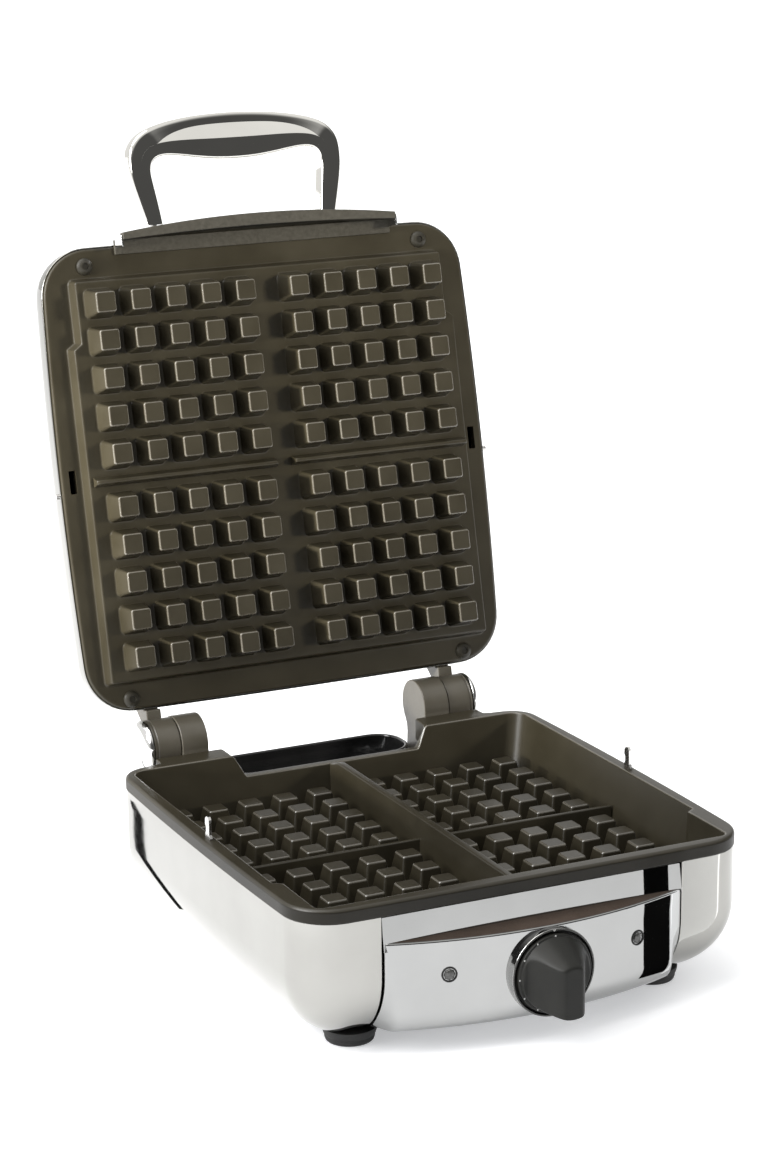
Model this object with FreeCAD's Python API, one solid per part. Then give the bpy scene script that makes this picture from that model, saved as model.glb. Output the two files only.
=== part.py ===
import FreeCAD, Part
import math
import os

V = FreeCAD.Vector

# ---------------------------------------------------------------------------
# Waffle maker with four square waffle wells, shown with its lid open.
# Millimetres.  All dimensions below are written about the cooking datum:
# X to the right, Y to the back, Z up, origin at the middle of the lower
# plate on the tops of its pegs.  SHIFT moves everything so that the
# finished part stands on Z = 0 with its box centred on X = 0, Y = 0.
# The lid is drawn closed and then swung open about the hinge axis.
# ---------------------------------------------------------------------------

SHIFT_Y = -46.96           # moves the box centre to Y = 0
SHIFT_Z = 66.5             # floor (underside of the feet) to the cooking datum

# cooking pegs
PITCH = 22.5               # peg spacing
PEG_N = 5                  # pegs per side of one well
PEG_X0 = 17.75             # first peg from the middle, across
PEG_Y0 = 15.75             # first peg from the middle, front to back
PEG_TOP = 11.8             # square top of a peg
PEG_FOOT = 17.4            # square foot of a peg
PEG_H = 14.0               # peg height

# hinge
HINGE_Y = 161.0
HINGE_Z = 25.0
LID_OPEN = 103.0           # degrees from closed
GAP = 4.0                  # lid peg tops above the lower peg tops when shut
KNUCKLE_R = 16.3
KNUCKLE_IN = 72.7          # inner face of the base knuckle
KNUCKLE_MID = 89.5         # outer face of the base knuckle
KNUCKLE_OUT = 106.8        # outer face of the lid knuckle
NECK_IN, NECK_OUT = 93.8, 103.2   # lid arm neck, across
PIN_R = 5.0
PIN_CLEAR = 0.05

# base
RIM_HX = 138.0             # half width of the rim at mid length
RIM_FRONT = -134.5
RIM_REAR = 134.5
RIM_BOW = 2.6              # how far each side is bowed outwards
RIM_R = 27.0               # front corner radius
RIM_RR = 17.0              # rear corner radius
RIM_TOP = 22.5
RIM_LOW = 14.5
FLOOR_Z = -PEG_H           # floor of the wells
PLATE_UNDER = -18.0
SHELL_T = 0.8
SHELL_ROLL_R = 42.0
SHELL_ROLL_Z = -18.5       # where the side walls start to roll under
SHELL_INSET = 25.0         # how far the roll comes in under the body
FASCIA_HX = 90.4
PANEL_HX = 89.8
PANEL_FRONT = -150.5       # front of the bowed control panel at the middle
PANEL_TOP = -0.4
PANEL_BOW = 15.9            # how far the panel stands out at the middle, its ends lie flush
PANEL_R = (PANEL_HX ** 2 + PANEL_BOW ** 2) / (2 * PANEL_BOW)
PANEL_LOW = -54.0
PANEL_T = 2.2
FOOT_X = 93.5
FOOT_YF = -97.0
FOOT_YR = 100.0
FOOT_R = 15.2

# control
KNOB_Z = -25.8
BEZEL_R = 24.8
LENS_X = 57.0
LENS_Z = -19.8
SHAFT_R = 3.0

# lid, as it lies when shut
LID_HX = 140.5
LID_FRONT = -139.5
LID_REAR = 138.5
LID_BOW = 3.4
LID_R = 29.0
FLANGE_Z = GAP + 22.5      # underside of the flange
PLATFORM_Z = GAP + 14.5    # raised field that carries the pegs
LID_PLATE_T = 5.5
HANDLE_R = 4.2             # rounding of the handle's edges

SHIFT = V(0, SHIFT_Y, SHIFT_Z)
HINGE = V(0, HINGE_Y, HINGE_Z)


# ------------------------------------------------------------------ helpers
def box(x0, x1, y0, y1, z0, z1):
    return Part.makeBox(x1 - x0, y1 - y0, z1 - z0, V(x0, y0, z0))


def cyl(p, d, r, h):
    return Part.makeCylinder(r, h, V(*p), V(*d))


def arc3(a, b, c):
    return Part.Arc(V(*a), V(*b), V(*c)).toShape()


def bowed_prism(hx, yf, yr, bow, r, z0, z1, bow_y=0.0, rr=None):
    """Upright block with four slightly bowed sides and rounded corners."""
    cx = hx - bow
    ym = 0.5 * (yf + yr)
    edges = [
        arc3((-cx, yf + bow_y, z0), (0, yf, z0), (cx, yf + bow_y, z0)),
        arc3((cx, yf + bow_y, z0), (hx, ym, z0), (cx, yr - bow_y, z0)),
        arc3((cx, yr - bow_y, z0), (0, yr, z0), (-cx, yr - bow_y, z0)),
        arc3((-cx, yr - bow_y, z0), (-hx, ym, z0), (-cx, yf + bow_y, z0)),
    ]
    solid = Part.Face(Part.Wire(edges)).extrude(V(0, 0, z1 - z0))
    ups = [e for e in solid.Edges
           if abs(e.Vertexes[0].Z - e.Vertexes[-1].Z) > 0.5 * (z1 - z0)]
    if rr is None:
        return solid.makeFillet(r, ups)
    front = [e for e in ups if e.Vertexes[0].Y < ym]
    solid = solid.makeFillet(r, front)
    rear = [e for e in solid.Edges
            if abs(e.Vertexes[0].Z - e.Vertexes[-1].Z) > 0.5 * (z1 - z0) and e.BoundBox.YMin > yr - bow_y - 0.01]
    return solid.makeFillet(rr, rear)


def outline_at(prism, z_of, z_to):
    """Outer wire of a prism's flat face at height z_of, moved to z_to."""
    for f in prism.Faces:
        b = f.BoundBox
        if abs(b.ZMin - z_of) < 1e-6 and abs(b.ZMax - z_of) < 1e-6:
            w = f.OuterWire.copy()
            w.translate(V(0, 0, z_to - z_of))
            return w


def rolled_body(hx, yf, yr, bow, r, z_top, z_roll, roll_r, inset, bow_y, up=False, rr=None):
    """Bowed block whose lower (or upper) edge rolls under with a big radius."""
    sgn = 1.0 if up else -1.0
    wires = []
    end = math.degrees(math.acos(1 - inset / roll_r))
    steps = [end * f for f in (0, 0.18, 0.36, 0.54, 0.71, 0.85, 1.0)]
    for a in steps:
        t = math.radians(a)
        i = roll_r * (1 - math.cos(t))
        z = z_roll + sgn * roll_r * math.sin(t)
        q = None if rr is None else max(rr - i * 0.5, 5.0)
        p = bowed_prism(hx - i, yf + i, yr - i, bow, max(r - i * 0.72, 6.0), 0, 1, bow_y, q)
        wires.append(outline_at(p, 0, z))
    roll = Part.makeLoft(wires, True, False)
    lo, hi = (z_top, z_roll) if up else (z_roll, z_top)
    wall = bowed_prism(hx, yf, yr, bow, r, lo, hi, bow_y, rr)
    return wall.fuse(roll)


def poly_face(pts, z):
    vs = [V(x, y, z) for x, y in pts]
    return Part.makePolygon(vs + [vs[0]])


def frustum(x, y, z0, half0, z1, half1):
    a = poly_face([(x - half0, y - half0), (x + half0, y - half0),
                   (x + half0, y + half0), (x - half0, y + half0)], z0)
    b = poly_face([(x - half1, y - half1), (x + half1, y - half1),
                   (x + half1, y + half1), (x - half1, y + half1)], z1)
    return Part.makeLoft([a, b], True, True)


def ridge(x0, x1, y0, y1, z0, z1, draft_x, draft_y):
    """Straight ridge, wider at z0 than at z1 by the draft on each side."""
    a = poly_face([(x0 - draft_x, y0 - draft_y), (x1 + draft_x, y0 - draft_y),
                   (x1 + draft_x, y1 + draft_y), (x0 - draft_x, y1 + draft_y)], z0)
    b = poly_face([(x0, y0), (x1, y0), (x1, y1), (x0, y1)], z1)
    return Part.makeLoft([a, b], True, True)


def peg_centres():
    out = []
    for sx in (-1, 1):
        for sy in (-1, 1):
            for i in range(PEG_N):
                for j in range(PEG_N):
                    out.append((sx * (PEG_X0 + PITCH * i), sy * (PEG_Y0 + PITCH * j)))
    return out


def tube_path(points, radius, bend):
    """Round bar along a polyline in a level plane, with bent corners."""
    pts = [V(*p) for p in points]
    edges = []
    cur = pts[0]
    for k in range(1, len(pts) - 1):
        a = (pts[k] - pts[k - 1]).normalize()
        b = (pts[k + 1] - pts[k]).normalize()
        ang = a.getAngle(b)
        t = bend * math.tan(ang / 2.0)
        p0 = pts[k] - a * t
        p1 = pts[k] + b * t
        bis = (b - a).normalize()
        c = pts[k] + bis * (bend / math.cos(ang / 2.0))
        mid = c - bis * bend
        edges.append(Part.LineSegment(cur, p0).toShape())
        edges.append(Part.Arc(p0, mid, p1).toShape())
        cur = p1
    edges.append(Part.LineSegment(cur, pts[-1]).toShape())
    wire = Part.Wire(edges)
    d = (pts[1] - pts[0]).normalize()
    prof = Part.Wire([Part.Circle(pts[0], d, radius).toShape()])
    return wire.makePipeShell([prof], True, False)


def export(name, shape, open_lid=False):
    s = shape.copy()
    if open_lid:
        s.rotate(HINGE, V(1, 0, 0), -LID_OPEN)
    s.translate(SHIFT)
    os.makedirs("parts", exist_ok=True)
    s.exportStep("parts/" + name + ".step")
    b = s.BoundBox
    BOXES.append(b)
    print("%-24s solids %2d valid %s vol %10.1f  x %7.1f %7.1f  y %7.1f %7.1f  z %7.1f %7.1f" % (
        name, len(s.Solids), s.isValid(), s.Volume, b.XMin, b.XMax, b.YMin, b.YMax, b.ZMin, b.ZMax))


BOXES = []
os.makedirs("parts", exist_ok=True)

# ===========================================================================
# LOWER PLATE: one casting with rim, four wells, pegs, divider and the two
# raised lands in front of the hinges
# ===========================================================================
rim = bowed_prism(RIM_HX, RIM_FRONT, RIM_REAR, RIM_BOW, RIM_R, RIM_LOW, RIM_TOP, 1.6, RIM_RR)
rim_edges = [e for e in rim.Edges if e.BoundBox.ZMin > RIM_TOP - 1e-6]
rim = rim.makeFillet(2.2, rim_edges)
tub_top = bowed_prism(RIM_HX - 4.5, RIM_FRONT + 4.5, RIM_REAR - 4.5, RIM_BOW, RIM_R - 4, 0, 1, 1.6, RIM_RR - 4)
tub_low = bowed_prism(RIM_HX - 14.5, RIM_FRONT + 13.5, RIM_REAR - 13.0, RIM_BOW, RIM_R - 12, 0, 1, 1.6, RIM_RR - 8)
tub = Part.makeLoft([outline_at(tub_low, 0, PLATE_UNDER), outline_at(tub_top, 0, RIM_LOW)], True, True)

WIDE_T, NARROW_T = 129.5, 124.5       # well mouth, half widths behind / ahead of the step
WIDE_B, NARROW_B = 120.5, 118.3       # the same on the floor of the wells
STEP_Y = -80.0
mouth = [(-WIDE_T, 127.0), (WIDE_T, 127.0), (WIDE_T, STEP_Y), (NARROW_T, STEP_Y - 4),
         (NARROW_T, -126.0), (-NARROW_T, -126.0), (-NARROW_T, STEP_Y - 4), (-WIDE_T, STEP_Y)]
floor = [(-WIDE_B, 116.8), (WIDE_B, 116.8), (WIDE_B, STEP_Y - 6), (NARROW_B, STEP_Y - 10),
         (NARROW_B, -116.6), (-NARROW_B, -116.6), (-NARROW_B, STEP_Y - 10), (-WIDE_B, STEP_Y - 6)]
k_up = (RIM_TOP + 1.0 - FLOOR_Z) / (RIM_TOP - FLOOR_Z)
mouth_up = [(b[0] + (t[0] - b[0]) * k_up, b[1] + (t[1] - b[1]) * k_up) for t, b in zip(mouth, floor)]
well = Part.makeLoft([poly_face(floor, FLOOR_Z), poly_face(mouth_up, RIM_TOP + 1.0)], True, True)

lower = rim.fuse([tub])
LAND_IN, LAND_BACK = 64.5, 143.6
for s in (-1, 1):
    xa, xb = sorted((s * LAND_IN, s * 108.0))
    lower = lower.fuse(box(xa, xb, 122.0, LAND_BACK, 9.0, RIM_TOP))
lower = lower.cut(well)
# the rear edge drops between the two hinge lands
NOTCH_Z = 9.6
notch = Part.Face(Part.makePolygon([V(-64.5, 100, RIM_TOP + 1), V(-57.8, 100, NOTCH_Z), V(57.8, 100, NOTCH_Z),
                                    V(64.5, 100, RIM_TOP + 1), V(-64.5, 100, RIM_TOP + 1)])).extrude(V(0, 80, 0))
lower = lower.cut(notch)
pegs = [frustum(x, y, FLOOR_Z - 0.5, PEG_FOOT / 2 + 0.1, 0.0, PEG_TOP / 2) for x, y in peg_centres()]
divider = ridge(-2.3, 2.3, -117.0, 118.0, FLOOR_Z - 0.5, 13.0, 2.6, 0.0)
divider = divider.fuse([ridge(-2.3, 2.3, 117.0, 124.0, 0.0, 9.6, 1.0, 0.0)])
cross = [ridge(-121.0, -2.0, -1.3, 1.3, FLOOR_Z - 0.5, 1.0, 0.0, 2.2),
         ridge(2.0, 121.0, -1.3, 1.3, FLOOR_Z - 0.5, 1.0, 0.0, 2.2)]
# keep the ridges inside the casting's own walls
tub_fill = Part.makeLoft([outline_at(tub_low, 0, PLATE_UNDER), outline_at(tub_top, 0, RIM_LOW)], True, True)
ribs = [r.common(tub_fill) for r in [divider] + cross]
lower = lower.fuse(pegs + ribs)
# four bosses under the plate take the heat shield screws
BOSS = [(-70.0, -70.0), (70.0, -70.0), (-70.0, 70.0), (70.0, 70.0)]
for x, y in BOSS:
    lower = lower.fuse(cyl((x, y, PLATE_UNDER - 12.0), (0, 0, 1), 5.0, 13.0))
for x, y in BOSS:
    lower = lower.cut(cyl((x, y, PLATE_UNDER - 12.5), (0, 0, 1), 1.75, 10.0))
# seats for the two alignment tabs in the side rims
TAB_X, TAB_Y, TAB_W, TAB_T = 133.3, -1.6, 7.0, 1.6
for s in (-1, 1):
    lower = lower.cut(box(s * TAB_X - TAB_T / 2, s * TAB_X + TAB_T / 2, TAB_Y - TAB_W / 2, TAB_Y + TAB_W / 2, RIM_TOP - 6.0, RIM_TOP + 1))
lower = lower.removeSplitter()
export("lower_plate", lower)

# alignment tabs: small hooked steel tongues that guide the lid on
tabs = []
for s in (-1, 1):
    prof = [(-3.5, RIM_TOP - 6.0), (3.5, RIM_TOP - 6.0), (3.5, RIM_TOP + 2.0), (2.2, RIM_TOP + 4.2),
            (2.2, RIM_TOP + 7.0), (3.4, RIM_TOP + 8.5), (3.0, RIM_TOP + 11.6), (1.2, RIM_TOP + 13.0),
            (-0.8, RIM_TOP + 13.0), (-2.2, RIM_TOP + 11.5), (-2.4, RIM_TOP + 3.0), (-3.5, RIM_TOP + 1.0)]
    w = Part.makePolygon([V(s * TAB_X - TAB_T / 2, TAB_Y + a, z) for a, z in prof + [prof[0]]])
    tabs.append(Part.Face(w).extrude(V(TAB_T, 0, 0)))
export("alignment_tabs", Part.makeCompound(tabs))

# ===========================================================================
# BASE SHELL: drawn metal jacket, open at the front for the control fascia
# ===========================================================================
g = 0.5
outer = rolled_body(RIM_HX - g, RIM_FRONT + g, RIM_REAR - g, RIM_BOW, RIM_R - g,
                    RIM_LOW, SHELL_ROLL_Z, SHELL_ROLL_R, SHELL_INSET, 1.6, False, RIM_RR - g)
inner = rolled_body(RIM_HX - g - SHELL_T, RIM_FRONT + g + SHELL_T, RIM_REAR - g - SHELL_T, RIM_BOW,
                    RIM_R - g - SHELL_T, RIM_LOW + 1.0, SHELL_ROLL_Z, SHELL_ROLL_R - SHELL_T, SHELL_INSET - SHELL_T, 1.6, False, RIM_RR - g - SHELL_T)
z_low = outer.BoundBox.ZMin
inner = inner.fuse(box(-RIM_HX + SHELL_INSET + 1.6, RIM_HX - SHELL_INSET - 1.6,
                       RIM_FRONT + SHELL_INSET + 1.6, RIM_REAR - SHELL_INSET - 1.6, z_low - 2, -50.0))
shell = outer.cut(inner)
shell = shell.cut(box(-FASCIA_HX - 0.4, FASCIA_HX + 0.4, -200.0, -120.0, -80.0, 30.0))
# rear: lower edge between the hinge lands and an opening for the wiring and the cord, behind the rear cover
shell = shell.cut(box(-20.0, 20.0, 120.0, 140.0, -42.0, -10.0))
shell = shell.cut(box(-108.2, 108.2, 115.0, 150.0, 8.8, 30.0))
export("base_shell", shell)

# ===========================================================================
# FRONT FASCIA: flat strip under the rim and a bowed control panel below it
# ===========================================================================
def panel_block(off, z0, z1, y_back):
    hx = PANEL_HX - off
    yf = PANEL_FRONT + off
    ys = yf + PANEL_R - (PANEL_R ** 2 - hx * hx) ** 0.5
    edges = [arc3((-hx, ys, z0), (0, yf, z0), (hx, ys, z0)),
             Part.LineSegment(V(hx, ys, z0), V(hx, y_back, z0)).toShape(),
             Part.LineSegment(V(hx, y_back, z0), V(-hx, y_back, z0)).toShape(),
             Part.LineSegment(V(-hx, y_back, z0), V(-hx, ys, z0)).toShape()]
    solid = Part.Face(Part.Wire(edges)).extrude(V(0, 0, z1 - z0))
    low = [e for e in solid.Edges if e.BoundBox.ZMax < z0 + 1e-6 and e.BoundBox.XLength > 100.0 and e.BoundBox.YMin < yf + 1.0]
    return solid, low


pan, low_e = panel_block(0.0, PANEL_LOW, PANEL_TOP, -120.3)
pan = pan.makeFillet(12.5, low_e)
pin_, low_i = panel_block(PANEL_T, PANEL_LOW + PANEL_T, PANEL_TOP - PANEL_T, -110.0)
pin_ = pin_.makeFillet(10.3, low_i)
strip_y = RIM_FRONT + 0.5
fascia = pan.cut(pin_)
fascia = fascia.fuse(box(-FASCIA_HX, FASCIA_HX, strip_y, strip_y + PANEL_T, -6.0, RIM_LOW))
fascia = fascia.cut(box(-PANEL_HX + 6, PANEL_HX - 6, strip_y - 1, strip_y + 8, -40.0, PANEL_TOP - PANEL_T))
# clear of the lower plate behind the strip
fascia = fascia.cut(box(-200.0, 200.0, -130.8, -100.0, -32.0, 30.0))
# openings for the control shaft and the two indicator lenses
fascia = fascia.cut(cyl((0, -160, KNOB_Z), (0, 1, 0), 6.0, 30.0))
for s in (-1, 1):
    fascia = fascia.cut(cyl((s * LENS_X, -160, LENS_Z), (0, 1, 0), 4.6, 30.0))
fascia = fascia.removeSplitter()
export("front_fascia", fascia)

# ===========================================================================
# BOTTOM COVER, FEET AND THEIR SCREWS
# ===========================================================================
COVER_Z1 = z_low
COVER_Z0 = COVER_Z1 - 1.6
cover = bowed_prism(RIM_HX - 20.0, RIM_FRONT + 22.0, RIM_REAR - 20.0, 2.0, 14.0, COVER_Z0, COVER_Z1, 1.0)
foot_c = [(sx * FOOT_X, y) for sx in (-1, 1) for y in (FOOT_YF, FOOT_YR)]
for x, y in foot_c:
    cover = cover.cut(cyl((x, y, COVER_Z0 - 1), (0, 0, 1), 2.2, 6.0))
for k in range(-3, 4):
    cover = cover.cut(box(-30.0, 30.0, k * 9.0 - 1.6, k * 9.0 + 1.6, COVER_Z0 - 1, COVER_Z1 + 1))
export("bottom_cover", cover)

feet, screws = [], []
for x, y in foot_c:
    f = Part.makeCone(FOOT_R - 2.0, FOOT_R, COVER_Z0 + SHIFT_Z, V(x, y, -SHIFT_Z), V(0, 0, 1))
    f = f.cut(cyl((x, y, -SHIFT_Z - 1), (0, 0, 1), 4.6, 3.6))
    f = f.cut(cyl((x, y, -SHIFT_Z - 1), (0, 0, 1), 2.2, 20.0))
    feet.append(f)
    s_ = cyl((x, y, -SHIFT_Z + 2.6), (0, 0, 1), 2.0, 12.0)
    s_ = s_.fuse(cyl((x, y, -SHIFT_Z + 0.8), (0, 0, 1), 4.0, 1.8))
    screws.append(s_.removeSplitter())
export("feet", Part.makeCompound(feet))
export("foot_screws", Part.makeCompound(screws))

# ===========================================================================
# REAR COVER: black moulding that carries the hinge brackets, and above it
# a glossy catch trough between the hinges
# ===========================================================================
RC_HX, RC_Y0, RC_Y1, RC_Z0, RC_Z1 = 102.0, RIM_REAR, 174.5, -46.0, -4.0
rc = box(-RC_HX, RC_HX, RC_Y0, RC_Y1, RC_Z0, RC_Z1)
rc = rc.makeFillet(16.0, [e for e in rc.Edges if e.BoundBox.ZLength > 20 and e.BoundBox.YMin > RC_Y1 - 1])
rc = rc.makeFillet(9.0, [e for e in rc.Edges if e.BoundBox.ZMax < RC_Z0 + 1e-6 and e.BoundBox.YMax > RC_Y1 - 30 and e.BoundBox.YMin > RC_Y0 + 1])
hollow = box(-RC_HX + 2.2, RC_HX - 2.2, RC_Y0 - 1, RC_Y1 - 2.2, RC_Z0 + 2.2, -16.0)
hollow = hollow.makeFillet(13.8, [e for e in hollow.Edges if e.BoundBox.ZLength > 20 and e.BoundBox.YMin > RC_Y1 - 4])
hollow = hollow.makeFillet(6.8, [e for e in hollow.Edges if e.BoundBox.ZMax < RC_Z0 + 2.3 and e.BoundBox.YMax > RC_Y1 - 30 and e.BoundBox.YMin > RC_Y0 + 1])
rc = rc.cut(hollow)
# pockets that seat the hinge brackets and the trough
for s in (-1, 1):
    xa, xb = sorted((s * (KNUCKLE_IN - 0.2), s * (KNUCKLE_MID + 0.2)))
    rc = rc.cut(box(xa, xb, RC_Y0 - 1, 172.2, -10.2, 20.0))
TR_HX, TR_Y0, TR_Y1, TR_Z0, TR_Z1, TR_T = 62.0, RIM_REAR + 0.2, 173.2, -10.0, 6.8, 2.4
tr_o = box(-TR_HX, TR_HX, TR_Y0, TR_Y1, TR_Z0, TR_Z1)
tr_o = tr_o.makeFillet(17.0, [e for e in tr_o.Edges if e.BoundBox.ZLength > 10])
tr_i = box(-TR_HX + TR_T, TR_HX - TR_T, TR_Y0 + TR_T, TR_Y1 - TR_T, TR_Z0 + TR_T, TR_Z1 + 5)
tr_i = tr_i.makeFillet(17.0 - TR_T, [e for e in tr_i.Edges if e.BoundBox.ZLength > 10])
seat = box(-TR_HX - 0.2, TR_HX + 0.2, RC_Y0 - 1, TR_Y1 + 0.2, TR_Z0 - 0.0, 20.0)
rc = rc.cut(seat)
trough = tr_o.cut(tr_i)
trough = trough.makeFillet(0.9, [e for e in trough.Edges if e.BoundBox.ZMin > TR_Z1 - 1e-6])
export("catch_trough", trough)
# round seat for the cord gland
GLAND_Z = -30.0
rc = rc.cut(cyl((70.0, RC_Y1 - 10, GLAND_Z), (0, 1, 0), 6.0, 20.0))
rc = rc.removeSplitter()
export("rear_cover", rc)

gland = cyl((70.0, RC_Y1 - 2.2, GLAND_Z), (0, 1, 0), 6.0, 2.2)
gland = gland.fuse([cyl((70.0, RC_Y1, GLAND_Z), (0, 1, 0), 8.5, 2.4), cyl((70.0, RC_Y1 - 5.0, GLAND_Z), (0, 1, 0), 7.6, 2.8)])
gland = gland.cut(cyl((70.0, RC_Y1 - 12, GLAND_Z), (0, 1, 0), 3.8, 30.0))
export("cord_gland", gland.removeSplitter())

# ===========================================================================
# HINGES: base brackets with inner knuckles, pins, chrome end caps
# ===========================================================================
CAP_R = 16.3
for s, side in ((-1, "left"), (1, "right")):
    xa, xb = sorted((s * KNUCKLE_IN, s * KNUCKLE_MID))
    kn = cyl((xa, HINGE_Y, HINGE_Z), (1, 0, 0), KNUCKLE_R, xb - xa)
    web = Part.Face(Part.makePolygon([V(xa, LAND_BACK, -10.0), V(xa, 172.0, -10.0), V(xa, 170.5, 8.0), V(xa, 175.0, 17.0),
                                      V(xa, HINGE_Y, HINGE_Z), V(xa, LAND_BACK, 21.5), V(xa, LAND_BACK, -10.0)])).extrude(V(xb - xa, 0, 0))
    br = kn.fuse(web)
    br = br.cut(cyl((xa - 1, HINGE_Y, HINGE_Z), (1, 0, 0), PIN_R, xb - xa + 2))
    export("hinge_bracket_" + side, br.removeSplitter())

    p0 = s * (KNUCKLE_IN + 1.0)
    p1 = s * (KNUCKLE_OUT + 3.4)
    a, b = sorted((p0, p1))
    pin = cyl((a, HINGE_Y, HINGE_Z), (1, 0, 0), PIN_R, b - a)
    pin = pin.cut(cyl((a - 1, HINGE_Y, HINGE_Z), (1, 0, 0), 3.2, b - a + 2))
    export("hinge_pin_" + side, pin)

    c0 = s * (KNUCKLE_OUT + 0.4)
    c1 = s * (KNUCKLE_OUT + 5.6)
    a, b = sorted((c0, c1))
    cap = cyl((a, HINGE_Y, HINGE_Z), (1, 0, 0), CAP_R, b - a)
    rim_e = [e for e in cap.Edges if abs(e.BoundBox.XMin - c1) < 1e-6 and abs(e.BoundBox.XMax - c1) < 1e-6]
    cap = cap.makeFillet(4.2, rim_e)
    h0, h1 = sorted((s * (KNUCKLE_OUT + 0.3), s * (KNUCKLE_OUT + 3.4)))
    cap = cap.cut(cyl((h0, HINGE_Y, HINGE_Z), (1, 0, 0), PIN_R, h1 - h0))
    export("hinge_cap_" + side, cap)

# ===========================================================================
# CONTROLS: bezel, knob with its shaft, thermostat, lamps and lenses
# ===========================================================================
BEZ_Y = PANEL_FRONT
bezel = cyl((0, BEZ_Y + 2.0, KNOB_Z), (0, -1, 0), BEZEL_R, 6.0)
bezel = bezel.makeFillet(0.8, [e for e in bezel.Edges if e.BoundBox.YMax < BEZ_Y - 3.5])
bezel = bezel.cut(cyl((0, BEZ_Y - 1.6, KNOB_Z), (0, -1, 0), 22.8, 6.0))
bezel = bezel.cut(panel_block(0.0, PANEL_LOW, PANEL_TOP, -120.3)[0])
bezel = bezel.fuse(cyl((0, BEZ_Y + 2.6, KNOB_Z), (0, -1, 0), 5.9, 3.6))
bezel = bezel.cut(cyl((0, BEZ_Y + 4, KNOB_Z), (0, -1, 0), 3.6, 12.0))
export("knob_bezel", bezel.removeSplitter())

KN_Y = BEZ_Y - 2.1
knob = cyl((0, KN_Y, KNOB_Z), (0, -1, 0), 22.2, 3.4)
knob = knob.makeFillet(1.0, [e for e in knob.Edges if e.BoundBox.YMax < KN_Y - 3])
knob = knob.fuse(Part.makeCone(20.4, 15.5, 7.0, V(0, KN_Y - 3.2, KNOB_Z), V(0, -1, 0)))
bar = box(-6.8, 6.8, KN_Y - 24.5, KN_Y - 3.0, KNOB_Z - 20.5, KNOB_Z + 17.5)
bar = bar.makeFillet(6.0, [e for e in bar.Edges if e.BoundBox.YLength > 15])
bar = bar.makeFillet(3.0, [e for e in bar.Edges if e.BoundBox.YMax < KN_Y - 24.4])
knob = knob.fuse(bar)
knob = knob.cut(cyl((0, KN_Y + 1, KNOB_Z), (0, -1, 0), SHAFT_R, 12.0))
export("control_knob", knob.removeSplitter())

TH_Y = -137.0
shaft = cyl((0, KN_Y - 11.0, KNOB_Z), (0, 1, 0), SHAFT_R, (TH_Y + 12.0) - (KN_Y - 11.0))
export("control_shaft", shaft)

th = box(-16.0, 16.0, TH_Y, TH_Y + 20.0, KNOB_Z - 20.0, KNOB_Z + 6.6)
th = th.makeFillet(2.0, [e for e in th.Edges if e.BoundBox.YLength > 15])
th = th.fuse(cyl((0, TH_Y - 8.0, KNOB_Z), (0, 1, 0), 5.4, 8.0))
th = th.fuse([box(-12.0, -6.0, TH_Y + 20.0, TH_Y + 26.0, KNOB_Z - 14.0, KNOB_Z - 13.2),
              box(6.0, 12.0, TH_Y + 20.0, TH_Y + 26.0, KNOB_Z - 14.0, KNOB_Z - 13.2)])
th = th.cut(cyl((0, TH_Y - 9, KNOB_Z), (0, 1, 0), SHAFT_R + PIN_CLEAR, 22.0))
export("thermostat", th.removeSplitter())

th_br = box(-24.0, 24.0, TH_Y - 1.4, TH_Y, KNOB_Z - 16.0, KNOB_Z + 10.0)
th_br = th_br.cut(cyl((0, TH_Y - 3, KNOB_Z), (0, 1, 0), 5.4, 6.0))
for s in (-1, 1):
    a, b = sorted((s * 24.0, s * 25.4))
    th_br = th_br.fuse(box(a, b, TH_Y - 10.0, TH_Y, KNOB_Z - 16.0, KNOB_Z + 10.0))
export("thermostat_bracket", th_br.removeSplitter())

for s, nm in ((-1, "power_lens"), (1, "ready_lens")):
    yl = PANEL_FRONT + LENS_X ** 2 / (2 * PANEL_R)
    lens = cyl((s * LENS_X, yl - 1.2, LENS_Z), (0, 1, 0), 4.5, 8.0)
    lens = lens.makeFillet(1.6, [e for e in lens.Edges if e.BoundBox.YMax < yl - 1.1])
    lens = lens.cut(cyl((s * LENS_X, yl + 2.4, LENS_Z), (0, 1, 0), 2.7, 6.0))
    export(nm, lens)
lamps = []
for s in (-1, 1):
    yl = PANEL_FRONT + LENS_X ** 2 / (2 * PANEL_R)
    l = cyl((s * LENS_X, yl + 3.0, LENS_Z), (0, 1, 0), 2.5, 10.0)
    l = l.fuse(box(s * LENS_X - 5, s * LENS_X + 5, yl + 8.0, yl + 16.0, LENS_Z - 5, LENS_Z + 5))
    lamps.append(l.removeSplitter())
export("indicator_lamps", Part.makeCompound(lamps))

# ===========================================================================
# LOWER HEATING: tubular element, clips, heat shield and its screws,
# thermal cut-out and mains terminal block
# ===========================================================================
EL_Z = PLATE_UNDER - 3.3
EL_R = 3.2
el = tube_path([(-30, 118.0, EL_Z), (-30, 92, EL_Z), (-92, 92, EL_Z), (-92, -92, EL_Z), (-34, -92, EL_Z),
                (-34, 40, EL_Z), (34, 40, EL_Z), (34, -92, EL_Z), (92, -92, EL_Z), (92, 92, EL_Z),
                (30, 92, EL_Z), (30, 118.0, EL_Z)], EL_R, 14.0)
export("lower_element", el)
clips = []
for x, y in ((-92, 0), (92, 0), (-34, -30), (34, -30)):
    c = box(x - 7.5, x + 7.5, y - 5, y + 5, PLATE_UNDER - 7.8, PLATE_UNDER)
    c = c.cut(cyl((x, y - 6, EL_Z), (0, 1, 0), EL_R + 0.05, 12.0))
    c = c.cut(box(x - EL_R - 0.05, x + EL_R + 0.05, y - 6, y + 6, EL_Z, PLATE_UNDER + 1))
    clips.append(c)
export("lower_element_clips", Part.makeCompound(clips))

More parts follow.
